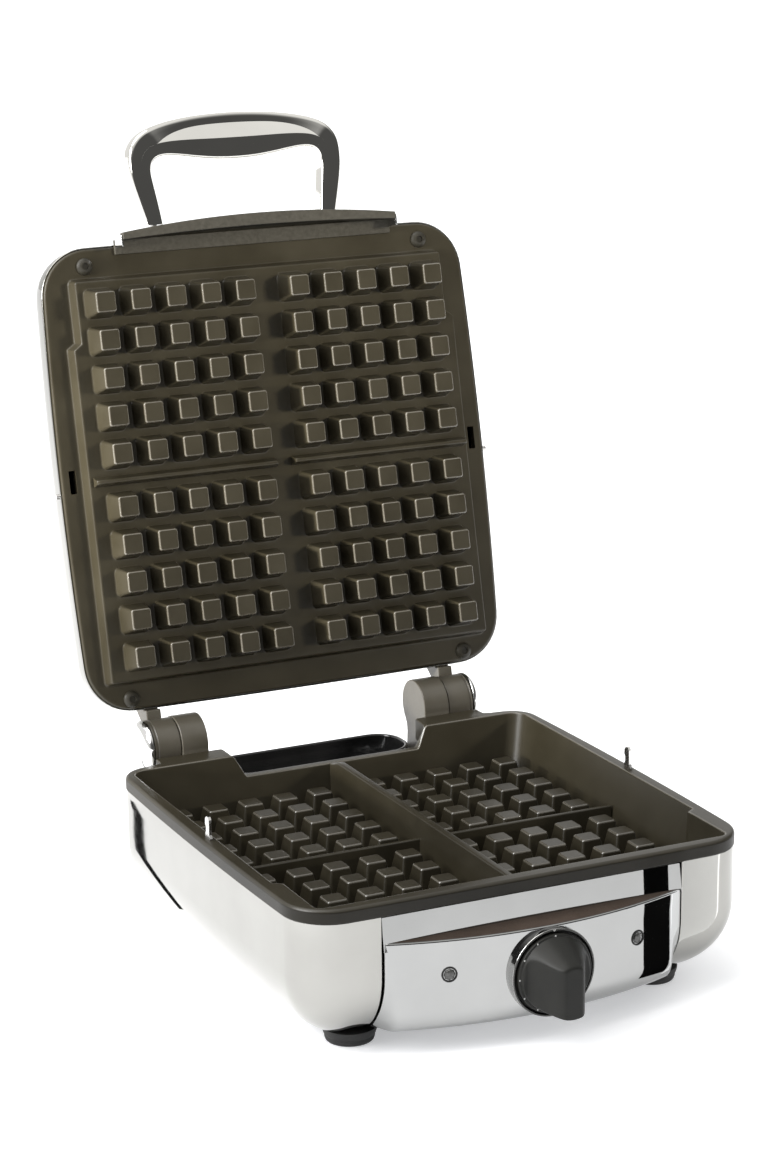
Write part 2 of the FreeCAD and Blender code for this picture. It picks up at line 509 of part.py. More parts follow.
SH_Z = PLATE_UNDER - 12.0
pan_o = box(-110, 110, -108, 106, SH_Z - 1.0, SH_Z + 7.0)
pan_i = box(-109, 109, -107, 105, SH_Z, SH_Z + 9.0)
shield = pan_o.cut(pan_i)
for x, y in BOSS:
    shield = shield.cut(cyl((x, y, SH_Z - 2), (0, 0, 1), 2.0, 5.0))
shield = shield.cut(box(-36, 36, 100, 110, SH_Z + 1.0, SH_Z + 10.0))
export("lower_heat_shield", shield)
sscr = []
for x, y in BOSS:
    q = cyl((x, y, SH_Z - 1.0), (0, 0, 1), 1.75, 9.0).fuse(cyl((x, y, SH_Z - 3.2), (0, 0, 1), 3.4, 2.2))
    sscr.append(q.removeSplitter())
export("lower_shield_screws", Part.makeCompound(sscr))

fuse_b = cyl((-46.0, -50.0, SH_Z - 6.2), (1, 0, 0), 3.0, 22.0)
fuse_b = fuse_b.fuse([cyl((-52.0, -50.0, SH_Z - 6.2), (1, 0, 0), 0.8, 7.0), cyl((-25.0, -50.0, SH_Z - 6.2), (1, 0, 0), 0.8, 7.0)])
fuse_b = fuse_b.fuse(box(-42.0, -28.0, -51.0, -49.0, SH_Z - 6.2, SH_Z - 1.0))
export("thermal_cutout", fuse_b.removeSplitter())

tb = box(30.0, 70.0, 60.0, 82.0, COVER_Z1, COVER_Z1 + 14.0)
for k in range(3):
    tb = tb.cut(cyl((38.0 + 12.0 * k, 71.0, COVER_Z1 + 6.0), (0, 0, 1), 3.2, 10.0))
    tb = tb.cut(cyl((38.0 + 12.0 * k, 59.0, COVER_Z1 + 5.0), (0, 1, 0), 2.0, 24.0))
export("terminal_block", tb)

# ===========================================================================
# LID (drawn shut, then swung open)
# ===========================================================================
up = bowed_prism(LID_HX, LID_FRONT, LID_REAR, LID_BOW, LID_R, FLANGE_Z, FLANGE_Z + LID_PLATE_T, 1.0)
up = up.makeFillet(1.2, [e for e in up.Edges if e.BoundBox.ZMax < FLANGE_Z + 1e-6])
PW, PN, PF, PB = 127.5, 122.5, -121.0, 122.0
plat_a = [(-PW, PB), (PW, PB), (PW, STEP_Y), (PN, STEP_Y - 3.5), (PN, PF), (-PN, PF), (-PN, STEP_Y - 3.5), (-PW, STEP_Y)]
plat_b = [(-PW + 1.8, PB - 1.8), (PW - 1.8, PB - 1.8), (PW - 1.8, STEP_Y + 0.6), (PN - 1.8, STEP_Y - 2.9), (PN - 1.8, PF + 1.8),
          (-PN + 1.8, PF + 1.8), (-PN + 1.8, STEP_Y - 2.9), (-PW + 1.8, STEP_Y + 0.6)]
plat = Part.makeLoft([poly_face(plat_b, PLATFORM_Z), poly_face(plat_a, FLANGE_Z + 1.0)], True, True)
up = up.fuse(plat)
UP_BACK = PLATFORM_Z + 4.5        # the back of the casting is recessed, and its pegs are hollow
up = up.cut(box(-118.0, 118.0, -113.0, 116.0, UP_BACK, FLANGE_Z + LID_PLATE_T + 1))
upegs = [frustum(x, y, PLATFORM_Z + 0.5, PEG_FOOT / 2 + 0.1, GAP, PEG_TOP / 2) for x, y in peg_centres()]
uribs = []
for s in (-1, 1):
    a, b = sorted((s * 6.0, s * 122.5))
    uribs.append(ridge(a, b, -1.2, 1.2, PLATFORM_Z + 0.5, PLATFORM_Z - 7.0, 1.0, 1.8))
up = up.fuse(upegs + uribs)
up = up.cut([frustum(x, y, PLATFORM_Z - 8.5, 3.4, UP_BACK + 0.5, 6.1) for x, y in peg_centres()])
# slots for the alignment tabs and holes for the four plate screws
for s in (-1, 1):
    up = up.cut(box(s * TAB_X - 2.2, s * TAB_X + 2.2, TAB_Y - 7.0, TAB_Y + 7.0, FLANGE_Z - 1, FLANGE_Z + LID_PLATE_T + 1))
LSCR = [(-111.0, -128.6), (111.0, -128.6), (-112.0, 131.5), (112.0, 131.5)]
for x, y in LSCR:
    up = up.cut(cyl((x, y, FLANGE_Z - 1), (0, 0, 1), 2.3, LID_PLATE_T + 2))
SIDE_PEG_Y, SIDE_PEG_Z, SIDE_PEG_R = 6.0, FLANGE_Z + 3.4, 1.6
for s in (-1, 1):
    up = up.cut(cyl((s * (LID_HX - 3.0), SIDE_PEG_Y, SIDE_PEG_Z), (s, 0, 0), SIDE_PEG_R, 10.0))
up = up.removeSplitter()
export("upper_plate", up, True)

pscr = []
for x, y in LSCR:
    q = Part.makeSphere(6.4, V(x, y, FLANGE_Z + 3.6)).common(cyl((x, y, FLANGE_Z - 6), (0, 0, 1), 5.0, 6.0))
    q = q.fuse(cyl((x, y, FLANGE_Z - 0.2), (0, 0, 1), 2.0, 12.0))
    pscr.append(q.removeSplitter())
export("plate_screws", Part.makeCompound(pscr), True)

# lid shell: drawn metal dome that wraps the upper plate
LS_Z0 = FLANGE_Z + 1.6
LO = 1.0
l_out = rolled_body(LID_HX + LO, LID_FRONT - LO, LID_REAR + LO, LID_BOW, LID_R + LO, LS_Z0, FLANGE_Z + 8.0, 28.0, 22.0, 1.0, True)
l_in = rolled_body(LID_HX + LO - SHELL_T, LID_FRONT - LO + SHELL_T, LID_REAR + LO - SHELL_T, LID_BOW, LID_R + LO - SHELL_T,
                   LS_Z0 - 1.0, FLANGE_Z + 8.0, 28.0 - SHELL_T, 22.0 - SHELL_T, 1.0, True)
lid_shell = l_out.cut(l_in)
print("lid shell solids", len(lid_shell.Solids), lid_shell.BoundBox.ZMin, lid_shell.BoundBox.ZMax)
# rear corners are relieved where the hinge arms pass
for s in (-1, 1):
    a, b = sorted((s * (NECK_IN - 1.0), s * (NECK_OUT + 1.0)))
    lid_shell = lid_shell.cut(box(a, b, 130.0, 150.0, LS_Z0 - 2, FLANGE_Z + 22.5))
    lid_shell = lid_shell.cut(cyl((s * (LID_HX - 3.0), SIDE_PEG_Y, SIDE_PEG_Z), (s, 0, 0), SIDE_PEG_R, 10.0))
export("lid_shell", lid_shell, True)

# hinge arms: neck and outer knuckle on each side
for s, side in ((-1, "left"), (1, "right")):
    xa, xb = sorted((s * (KNUCKLE_MID + 0.4), s * KNUCKLE_OUT))
    na, nb = sorted((s * NECK_IN, s * NECK_OUT))
    prof = [V(na, 126.0, FLANGE_Z + LID_PLATE_T), V(na, 126.0, FLANGE_Z + 19.0), V(na, 138.5, FLANGE_Z + 21.0), V(na, 146.0, FLANGE_Z + 13.5),
            V(na, 151.0, FLANGE_Z + 7.0), V(na, HINGE_Y, HINGE_Z), V(na, 151.0, FLANGE_Z + 1.0), V(na, LID_REAR + 1.4, FLANGE_Z + 1.0),
            V(na, LID_REAR + 1.4, FLANGE_Z + LID_PLATE_T)]
    neck = Part.Face(Part.makePolygon(prof + [prof[0]])).extrude(V(nb - na, 0, 0))
    arm = neck.fuse(cyl((xa, HINGE_Y, HINGE_Z), (1, 0, 0), KNUCKLE_R - 0.6, xb - xa))
    arm = arm.cut(cyl((xa - 1, HINGE_Y, HINGE_Z), (1, 0, 0), PIN_R + PIN_CLEAR, xb - xa + 2))
    export("lid_hinge_arm_" + side, arm.removeSplitter(), True)

# upper element, clips and heat shield
UE_Z = UP_BACK + 3.3
uel = tube_path([(-30, 112.0, UE_Z), (-30, 88, UE_Z), (-92, 88, UE_Z), (-92, -92, UE_Z), (-34, -92, UE_Z),
                 (-34, 40, UE_Z), (34, 40, UE_Z), (34, -92, UE_Z), (92, -92, UE_Z), (92, 88, UE_Z),
                 (30, 88, UE_Z), (30, 112.0, UE_Z)], EL_R, 14.0)
export("upper_element", uel, True)
uclips = []
for x, y in ((-92, 0), (92, 0), (-34, -30), (34, -30)):
    c = box(x - 7.5, x + 7.5, y - 5, y + 5, UP_BACK, UP_BACK + 7.8)
    c = c.cut(cyl((x, y - 6, UE_Z), (0, 1, 0), EL_R + 0.05, 12.0))
    c = c.cut(box(x - EL_R - 0.05, x + EL_R + 0.05, y - 6, y + 6, UP_BACK - 1, UE_Z))
    uclips.append(c)
export("upper_element_clips", Part.makeCompound(uclips), True)
US_Z = FLANGE_Z + LID_PLATE_T
ush = box(-121, 121, -117, 121, US_Z, US_Z + 9.0).cut(box(-120.4, 120.4, -116.4, 120.4, US_Z - 1, US_Z + 8.4))
ush = ush.cut(box(-36, 36, 115, 125, US_Z - 1, US_Z + 7.0))
export("upper_heat_shield", ush, True)

# front bumper: dark lip that hangs in front of the lower rim when shut
BU_HX = 90.0
R_BOW = 700.0


def bow_y(x, y_mid):
    return y_mid + x * x / (2 * R_BOW)


def bowed_bar(hx, y_out, y_in, z0, z1):
    e0, e1 = bow_y(hx, y_out), bow_y(hx, y_in)
    edges = [arc3((-hx, e0, z0), (0, y_out, z0), (hx, e0, z0)),
             Part.LineSegment(V(hx, e0, z0), V(hx, e1, z0)).toShape(),
             arc3((hx, e1, z0), (0, y_in, z0), (-hx, e1, z0)),
             Part.LineSegment(V(-hx, e1, z0), V(-hx, e0, z0)).toShape()]
    return Part.Face(Part.Wire(edges)).extrude(V(0, 0, z1 - z0))


LIP_LOW = GAP + 7.0
bump = bowed_bar(BU_HX, -149.6, -144.4, LIP_LOW + 2.0, FLANGE_Z)
e0, e1 = bow_y(BU_HX, -152.0), -141.9
face = Part.Face(Part.Wire([
    arc3((-BU_HX, e0, LIP_LOW), (0, -152.0, LIP_LOW), (BU_HX, e0, LIP_LOW)),
    Part.LineSegment(V(BU_HX, e0, LIP_LOW), V(BU_HX, e1, LIP_LOW)).toShape(),
    arc3((BU_HX, e1, LIP_LOW), (0, -144.6, LIP_LOW), (-BU_HX, e1, LIP_LOW)),
    Part.LineSegment(V(-BU_HX, e1, LIP_LOW), V(-BU_HX, e0, LIP_LOW)).toShape()])).extrude(V(0, 0, 2.4))
bump = bump.fuse(face)
wall = box(-91.5, 91.5, -147.0, -130.0, GAP + 21.3, FLANGE_Z)
wall = wall.common(bowed_bar(91.5, -149.5, -100.0, 0, 60))
wall = wall.fuse(box(-91.5, 91.5, -136.2, -130.0, GAP + 20.3, FLANGE_Z))
bump = bump.fuse(wall)
export("lid_bumper", bump.removeSplitter(), True)

# handle bracket: bright plate on the front of the bumper that carries the handle
BRK_MID = 73.0
brk = bowed_bar(BU_HX + 1.0, -152.0, -149.6, LIP_LOW + 2.5, FLANGE_Z + 4.0)
mid = bowed_bar(BU_HX + 1.0, -152.0, -149.6, LIP_LOW + 2.5, FLANGE_Z + 26.0).common(box(-BRK_MID, BRK_MID, -170, -130, 0, 90))
mid = mid.makeFillet(9.0, [e for e in mid.Edges if e.BoundBox.ZMin > FLANGE_Z + 25.9 and e.BoundBox.XLength < 0.1 and e.BoundBox.YLength > 1])
brk = brk.fuse(mid)
for s in (-1, 1):
    a, b = sorted((s * BU_HX, s * (BU_HX + 1.0)))
    brk = brk.fuse(box(a, b, bow_y(BU_HX, -150.5), bow_y(BU_HX, -145.8), LIP_LOW + 1.0, GAP + 20.3))
for z0, z1, y_in in ((FLANGE_Z + 9.2, FLANGE_Z + 11.2, -140.7), (FLANGE_Z + 23.0, FLANGE_Z + 24.8, -136.8)):
    brk = brk.fuse(bowed_bar(62.0, -150.0, -100.0, z0, z1).common(box(-62.0, 62.0, -160.0, y_in, 0, 90)))
HS_X = 57.0
HS_Z = FLANGE_Z + 18.5
for s in (-1, 1):
    brk = brk.cut(cyl((s * HS_X, -160, HS_Z), (0, 1, 0), 2.6, 20.0))
brk = brk.removeSplitter()
print("bracket solids", len(brk.Solids))
export("handle_bracket", brk, True)

# loop handle
H_Y0 = -152.0               # where the legs meet the bracket


def handle_outline(z):
    def sp(pts):
        c = Part.BSplineCurve()
        c.interpolate([V(x, -w, z) for x, w in pts])
        return c.toShape()
    outer_l = [(-63.5, 151.6), (-67.2, 166.0), (-70.0, 181.0), (-70.4, 190.0), (-68.8, 198.0), (-63.2, 205.4), (-54.0, 210.2), (-34.0, 214.6), (0.0, 217.0),
               (34.0, 214.6), (54.0, 210.2), (63.2, 205.4), (68.8, 198.0), (70.4, 190.0), (70.0, 181.0), (67.2, 166.0), (63.5, 151.6)]
    inner_l = [(52.5, 151.6), (54.0, 163.0), (56.2, 178.0), (56.4, 185.0), (53.5, 190.4), (47.0, 192.6), (36.0, 191.6), (18.0, 189.0), (0.0, 188.0),
               (-18.0, 189.0), (-36.0, 191.6), (-47.0, 192.6), (-53.5, 190.4), (-56.4, 185.0), (-56.2, 178.0), (-54.0, 163.0), (-52.5, 151.6)]
    e1, e2 = sp(outer_l), sp(inner_l)
    l1 = Part.LineSegment(V(63.5, -151.6, z), V(52.5, -151.6, z)).toShape()
    l2 = Part.LineSegment(V(-52.5, -151.6, z), V(-63.5, -151.6, z)).toShape()
    return Part.Wire([e1, l1, e2, l2])


HA_Z0, HA_Z1 = FLANGE_Z + 12.5, FLANGE_Z + 25.0
handle = Part.Face(handle_outline(HA_Z0)).extrude(V(0, 0, HA_Z1 - HA_Z0))
long_e = [e for e in handle.Edges if e.BoundBox.ZLength < 1e-6 and e.Length > 60.0]
handle = handle.makeFillet(HANDLE_R, long_e)
handle = handle.cut(bowed_bar(150.0, -152.0, -100.0, 0, 120))
for s in (-1, 1):
    handle = handle.cut(cyl((s * HS_X, -165.0, HS_Z), (0, 1, 0), 2.0, 20.0))
export("handle", handle.removeSplitter(), True)

hscr = []
for s in (-1, 1):
    yb = bow_y(HS_X + 4.4, -149.6)
    q = cyl((s * HS_X, yb, HS_Z), (0, -1, 0), 2.0, 12.0)
    q = q.fuse(cyl((s * HS_X, yb, HS_Z), (0, 1, 0), 4.2, 2.6))
    hscr.append(q.removeSplitter())
export("handle_screws", Part.makeCompound(hscr), True)

# short locating pegs on the sides of the lid
spegs = []
for s in (-1, 1):
    q = cyl((s * (LID_HX - 3.0), SIDE_PEG_Y, SIDE_PEG_Z), (s, 0, 0), SIDE_PEG_R, 6.35)
    spegs.append(q)
export("lid_side_pegs", Part.makeCompound(spegs), True)

xs0 = min(b.XMin for b in BOXES)
xs1 = max(b.XMax for b in BOXES)
ys0 = min(b.YMin for b in BOXES)
ys1 = max(b.YMax for b in BOXES)
zs0 = min(b.ZMin for b in BOXES)
zs1 = max(b.ZMax for b in BOXES)
print("box x %.2f %.2f  y %.2f %.2f (mid %.3f)  z %.2f %.2f" % (xs0, xs1, ys0, ys1, 0.5 * (ys0 + ys1), zs0, zs1))
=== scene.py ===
import bpy
import bmesh
import math
import numpy as np
from mathutils import Matrix, Vector


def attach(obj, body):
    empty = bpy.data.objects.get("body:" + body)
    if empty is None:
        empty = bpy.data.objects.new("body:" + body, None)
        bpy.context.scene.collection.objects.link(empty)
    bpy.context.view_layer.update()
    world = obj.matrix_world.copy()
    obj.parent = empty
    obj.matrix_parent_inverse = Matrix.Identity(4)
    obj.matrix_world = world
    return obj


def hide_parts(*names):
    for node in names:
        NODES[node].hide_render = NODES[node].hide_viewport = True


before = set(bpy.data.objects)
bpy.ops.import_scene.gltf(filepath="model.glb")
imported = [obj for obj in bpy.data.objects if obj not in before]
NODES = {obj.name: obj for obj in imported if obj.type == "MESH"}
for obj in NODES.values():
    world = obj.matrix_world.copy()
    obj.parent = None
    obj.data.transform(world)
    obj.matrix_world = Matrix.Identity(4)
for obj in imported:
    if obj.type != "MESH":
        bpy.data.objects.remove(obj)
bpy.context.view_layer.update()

# ---------------------------------------------------------------------------
# Four-square waffle maker, lid open.  Shapes below are written in millimetres
# about the cooking datum (middle of the lower plate, on its peg tops) and are
# moved into the part's frame when a mesh is made.  Lid pieces are written as
# they lie when shut and then swung open about the hinge axis.
# ---------------------------------------------------------------------------
SY, SZ = -46.96, 66.5
HY, HZ, OPEN = 161.0, 25.0, math.radians(-103.0)
PITCH, PX0, PY0 = 22.5, 17.75, 15.75


def on_base(v):
    v = np.array(v, float).reshape(-1, 3)
    v[:, 1] += SY
    v[:, 2] += SZ
    return v * 0.001


def on_lid(v):
    v = np.array(v, float).reshape(-1, 3)
    c, s = math.cos(OPEN), math.sin(OPEN)
    y, z = v[:, 1] - HY, v[:, 2] - HZ
    v[:, 1] = HY + c * y - s * z
    v[:, 2] = HZ + s * y + c * z
    return on_base(v)


def smooth(a, b, x):
    t = np.clip((np.asarray(x, float) - a) / (b - a), 0, 1)
    return t * t * (3 - 2 * t)


# ------------------------------------------------------------------ mesh kit
class Skin:
    """Vertices and faces of one piece, in millimetres."""

    def __init__(self):
        self.v, self.f, self.m = [], [], []

    def pts(self, p):
        k = len(self.v)
        self.v.extend([tuple(float(c) for c in q) for q in p])
        return list(range(k, len(self.v)))

    def face(self, idx, mat=0):
        self.f.append(tuple(idx))
        self.m.append(mat)

    def strip(self, a, b, closed=True, mat=0):
        n = len(a)
        for i in range(n if closed else n - 1):
            j = (i + 1) % n
            self.face((a[i], a[j], b[j], b[i]), mat)

    def loft(self, rings, closed=True, cap0=False, cap1=False, mat=0, mats=None):
        idx = [self.pts(r) for r in rings]
        for k in range(len(idx) - 1):
            self.strip(idx[k], idx[k + 1], closed, mats[k] if mats else mat)
        if cap0:
            self.face(idx[0][::-1], mats[0] if mats else mat)
        if cap1:
            self.face(idx[-1], mats[-1] if mats else mat)
        return idx


def at_z(xy, z):
    xy = np.asarray(xy, float)
    zz = np.broadcast_to(np.asarray(z, float), (len(xy),))
    return np.column_stack([xy, zz])


def both(h, is_open=False):
    """Right half outline (front to rear) joined with its mirror image."""
    h = np.asarray(h, float)
    left = h[::-1].copy()
    left[:, 0] *= -1
    if is_open:
        return np.vstack([h, left[1:]])
    return np.vstack([h, left[1:-1]])


def half_outline(hx, yf, yr, bow=0.0, rf=5.0, rr=5.0, by=0.0, nf=20, nc=9, ns=30, nr=20, x0=0.0, x1=0.0, step=None):
    """Right half of a block with bowed sides and rounded corners."""
    ym, L = 0.5 * (yf + yr), 0.5 * (yr - yf)
    X = lambda y: hx - bow * ((y - ym) / L) ** 2
    dX = lambda y: -2 * bow * (y - ym) / L ** 2
    F = lambda x: yf + by * (x / hx) ** 2
    dF = lambda x: 2 * by * x / hx ** 2
    B = lambda x: yr - by * (x / hx) ** 2
    xc, yc = hx - bow - rf, yf + rf
    xd, yd = hx - bow - rr, yr - rr
    for _ in range(25):
        xc, yc = X(yc) - rf * math.hypot(1, dX(yc)), F(xc) + rf * math.hypot(1, dF(xc))
        xd, yd = X(yd) - rr * math.hypot(1, dX(yd)), B(xd) - rr * math.hypot(1, dF(xd))
    a0, a1 = math.atan2(-1, dF(xc)), math.atan2(-dX(yc), 1)
    b0, b1 = math.atan2(-dX(yd), 1), math.atan2(1, dF(xd))
    p = []
    xt = xc + rf * math.cos(a0)
    p += [(x0 + (xt - x0) * i / nf, F(x0 + (xt - x0) * i / nf)) for i in range(nf)]
    p += [(xc + rf * math.cos(a0 + (a1 - a0) * i / nc), yc + rf * math.sin(a0 + (a1 - a0) * i / nc)) for i in range(nc + 1)]
    ya, yb = p[-1][1], yd + rr * math.sin(b0)
    if step:
        n1, ya1, yb1, n2 = step
        ys = [ya + (ya1 - ya) * i / n1 for i in range(1, n1 + 1)] + [0.5 * (ya1 + yb1), yb1] + [yb1 + (yb - yb1) * i / n2 for i in range(1, n2)]
    else:
        ys = [ya + (yb - ya) * i / ns for i in range(1, ns)]
    p += [(X(y), y) for y in ys]
    p += [(xd + rr * math.cos(b0 + (b1 - b0) * i / nc), yd + rr * math.sin(b0 + (b1 - b0) * i / nc)) for i in range(nc + 1)]
    xt = p[-1][0]
    p += [(xt + (x1 - xt) * i / nr, B(xt + (x1 - xt) * i / nr)) for i in range(1, nr + 1)]
    return np.array(p)


def half_jog(hw, hn, yf, yr, rf, rr, y_wide, y_narrow, nf=20, nc=9, n1=7, n2=21, nr=20, x1=0.0):
    """Right half of a straight-sided outline that is narrower ahead of a small step."""
    p = [((hn - rf) * i / nf, yf) for i in range(nf)]
    p += [(hn - rf + rf * math.sin(math.pi / 2 * i / nc), yf + rf - rf * math.cos(math.pi / 2 * i / nc)) for i in range(nc + 1)]
    ya = yf + rf
    p += [(hn, ya + (y_narrow - ya) * i / n1) for i in range(1, n1 + 1)]
    p += [(0.5 * (hn + hw), 0.5 * (y_narrow + y_wide))]
    p += [(hw, y_wide)]
    yb = yr - rr
    p += [(hw, y_wide + (yb - y_wide) * i / n2) for i in range(1, n2)]
    p += [(hw - rr + rr * math.cos(math.pi / 2 * i / nc), yb + rr * math.sin(math.pi / 2 * i / nc)) for i in range(nc + 1)]
    xt = hw - rr
    p += [(xt + (x1 - xt) * i / nr, yr) for i in range(1, nr + 1)]
    return np.array(p)


def inset(loop, d):
    """Closed plan loop (counter-clockwise from above) moved inwards by d, which may vary along it."""
    p = np.asarray(loop, float)
    a, b = np.roll(p, 1, 0), np.roll(p, -1, 0)
    e0, e1 = p - a, b - p
    e0 /= np.maximum(np.linalg.norm(e0, axis=1), 1e-9)[:, None]
    e1 /= np.maximum(np.linalg.norm(e1, axis=1), 1e-9)[:, None]
    n0 = np.column_stack([-e0[:, 1], e0[:, 0]])
    n1 = np.column_stack([-e1[:, 1], e1[:, 0]])
    n = n0 + n1
    n /= np.maximum(np.linalg.norm(n, axis=1), 1e-9)[:, None]
    k = 1.0 / np.maximum(np.sum(n * n0, axis=1), 0.6)
    return p + n * (np.broadcast_to(np.asarray(d, float), (len(p),)) * k)[:, None]


def cubic(pts, n):
    """Natural cubic curve through the points, n samples."""
    p = np.asarray(pts, float)
    d = np.linalg.norm(np.diff(p, axis=0), axis=1) ** 0.75
    t = np.concatenate([[0], np.cumsum(d)])
    m = len(p)
    A, R = np.zeros((m, m)), np.zeros((m, p.shape[1]))
    A[0, 0] = A[-1, -1] = 1
    h = np.diff(t)
    for i in range(1, m - 1):
        A[i, i - 1], A[i, i], A[i, i + 1] = h[i - 1], 2 * (h[i - 1] + h[i]), h[i]
        R[i] = 6 * ((p[i + 1] - p[i]) / h[i] - (p[i] - p[i - 1]) / h[i - 1])
    M = np.linalg.solve(A, R)
    s = np.linspace(0, t[-1], n)
    k = np.clip(np.searchsorted(t, s, side="right") - 1, 0, m - 2)
    u, w, hh = (s - t[k])[:, None], (t[k + 1] - s)[:, None], h[k][:, None]
    return (M[k] * w ** 3 + M[k + 1] * u ** 3) / (6 * hh) + (p[k] / hh - M[k] * hh / 6) * w + (p[k + 1] / hh - M[k + 1] * hh / 6) * u


def make(name, skin, place, mats, body, replaces=(), sharp=40.0, solid=None, weld=0.004, weighted=True, holes=None):
    """Turns a skin into a shaded piece that rides on a body."""
    me = bpy.data.meshes.new(name)
    me.from_pydata(place(skin.v).tolist(), [], skin.f)
    me.polygons.foreach_set("material_index", np.array(skin.m, np.int32))
    bm = bmesh.new()
    bm.from_mesh(me)
    bmesh.ops.remove_doubles(bm, verts=bm.verts, dist=weld * 0.001)
    bmesh.ops.dissolve_degenerate(bm, dist=1e-6, edges=bm.edges)
    bmesh.ops.recalc_face_normals(bm, faces=bm.faces)
    bm.to_mesh(me)
    bm.free()
    ob = bpy.data.objects.new(name, me)
    bpy.context.scene.collection.objects.link(ob)
    for m in mats:
        me.materials.append(m)
    if holes:
        cut = bpy.data.meshes.new(name + "_cut")
        cut.from_pydata(place(holes.v).tolist(), [], holes.f)
        b2 = bmesh.new()
        b2.from_mesh(cut)
        bmesh.ops.recalc_face_normals(b2, faces=b2.faces)
        b2.to_mesh(cut)
        b2.free()
        co = bpy.data.objects.new(name + "_cut", cut)
        bpy.context.scene.collection.objects.link(co)
        mod = ob.modifiers.new("cut", "BOOLEAN")
        mod.operation, mod.solver, mod.object = "DIFFERENCE", "EXACT", co
        dg = bpy.context.evaluated_depsgraph_get()
        new = bpy.data.meshes.new_from_object(ob.evaluated_get(dg), depsgraph=dg)
        ob.modifiers.clear()
        ob.data = new
        me = new
        bpy.data.objects.remove(co)
    me.polygons.foreach_set("use_smooth", [True] * len(me.polygons))
    me.set_sharp_from_angle(angle=math.radians(sharp))
    if solid:
        s = ob.modifiers.new("wall", "SOLIDIFY")
        s.thickness, s.offset, s.use_even_offset, s.use_rim = solid * 0.001, -1.0, True, True
    if weighted:
        w = ob.modifiers.new("shade", "WEIGHTED_NORMAL")
        w.mode, w.weight, w.keep_sharp = "FACE_AREA", 50, True
    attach(ob, body)
    if replaces:
        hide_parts(*replaces)
    return ob


def revolve(skin, profile, centre, axis, n=48, mat=0, mats=None, closed=True):
    """Profile of (radius, distance along the axis) turned about an axis through centre."""
    c, a = np.array(centre, float), np.array(axis, float)
    a /= np.linalg.norm(a)
    u = np.cross(a, (0, 0, 1.0)) if abs(a[2]) < 0.9 else np.cross(a, (1.0, 0, 0))
    u /= np.linalg.norm(u)
    w = np.cross(a, u)
    rings = []
    for r, d in profile:
        t = np.arange(n) * 2 * math.pi / n
        rings.append(c + a * d + r * (np.cos(t)[:, None] * u + np.sin(t)[:, None] * w))
    idx = []
    for (r, d), ring in zip(profile, rings):
        idx.append(skin.pts(ring) if r > 1e-6 else skin.pts([c + a * d]) * n)
    for k in range(len(idx) - 1):
        m = mats[k] if mats else mat
        for i in range(n):
            j = (i + 1) % n
            q = [idx[k][i], idx[k][j], idx[k + 1][j], idx[k + 1][i]]
            q = list(dict.fromkeys(q))
            if len(q) > 2:
                skin.face(q, m)
    if closed:
        if profile[0][0] > 1e-6 and not np.allclose(profile[0], profile[-1]):
            skin.face(idx[0][::-1], mats[0] if mats else mat)
        if profile[-1][0] > 1e-6 and not np.allclose(profile[0], profile[-1]):
            skin.face(idx[-1], mats[-1] if mats else mat)


def slab_x(skin, outline, x0, x1, bevel=0.8, mat=0):
    """Outline in the (y, z) plane stretched from x0 to x1 with rounded long edges."""
    o = np.asarray(outline, float)
    area = 0.5 * np.sum(o[:, 0] * np.roll(o[:, 1], -1) - o[:, 1] * np.roll(o[:, 0], -1))
    if area < 0:
        o = o[::-1]
    rings = []
    for t in (90, 60, 30, 0):
        i, d = bevel * (1 - math.cos(math.radians(t))), bevel * (1 - math.sin(math.radians(t)))
        q = inset(o, i)
        rings.append(np.column_stack([np.full(len(q), x0 + d), q]))
    for t in (0, 30, 60, 90):
        i, d = bevel * (1 - math.cos(math.radians(t))), bevel * (1 - math.sin(math.radians(t)))
        q = inset(o, i)
        rings.append(np.column_stack([np.full(len(q), x1 - d), q]))
    skin.loft(rings, True, True, True, mat)


def slab_z(skin, outline, z0, z1, bevel=0.8, mat=0):
    """Outline in plan stretched from z0 to z1 with rounded edges."""
    o = np.asarray(outline, float)
    rings = []
    for t in (90, 60, 30, 0):
        rings.append(at_z(inset(o, bevel * (1 - math.cos(math.radians(t)))), z0 + bevel * (1 - math.sin(math.radians(t)))))
    for t in (0, 30, 60, 90):
        rings.append(at_z(inset(o, bevel * (1 - math.cos(math.radians(t)))), z1 - bevel * (1 - math.sin(math.radians(t)))))
    skin.loft(rings, True, True, True, mat)


def arc_pts(cy, cz, r, a0, a1, n):
    return [(cy + r * math.cos(math.radians(a0 + (a1 - a0) * i / n)), cz + r * math.sin(math.radians(a0 + (a1 - a0) * i / n))) for i in range(n + 1)]


def round_poly(pts, r, n=5):
    """Closed polygon with its corners rounded; r is one radius or one per corner."""
    p = [np.array(q, float) for q in pts]
    out = []
    m = len(p)
    for i in range(m):
        ri = r[i] if hasattr(r, "__len__") else r
        a, b, c = p[i - 1], p[i], p[(i + 1) % m]
        u, w = (a - b) / np.linalg.norm(a - b), (c - b) / np.linalg.norm(c - b)
        ang = math.acos(float(np.clip(u @ w, -1, 1)))
        if ri <= 0 or ang > math.pi - 0.05:
            out.append(b)
            continue
        t = min(ri / math.tan(ang / 2), 0.48 * np.linalg.norm(a - b), 0.48 * np.linalg.norm(c - b))
        rr = t * math.tan(ang / 2)
        bis = (u + w) / np.linalg.norm(u + w)
        cen = b + bis * (rr / math.sin(ang / 2))
        s, e = b + u * t - cen, b + w * t - cen
        a0 = math.atan2(s[1], s[0])
        da = (math.atan2(e[1], e[0]) - a0 + math.pi) % (2 * math.pi) - math.pi
        out += [cen + rr * np.array([math.cos(a0 + da * k / n), math.sin(a0 + da * k / n)]) for k in range(n + 1)]
    return np.array(out)


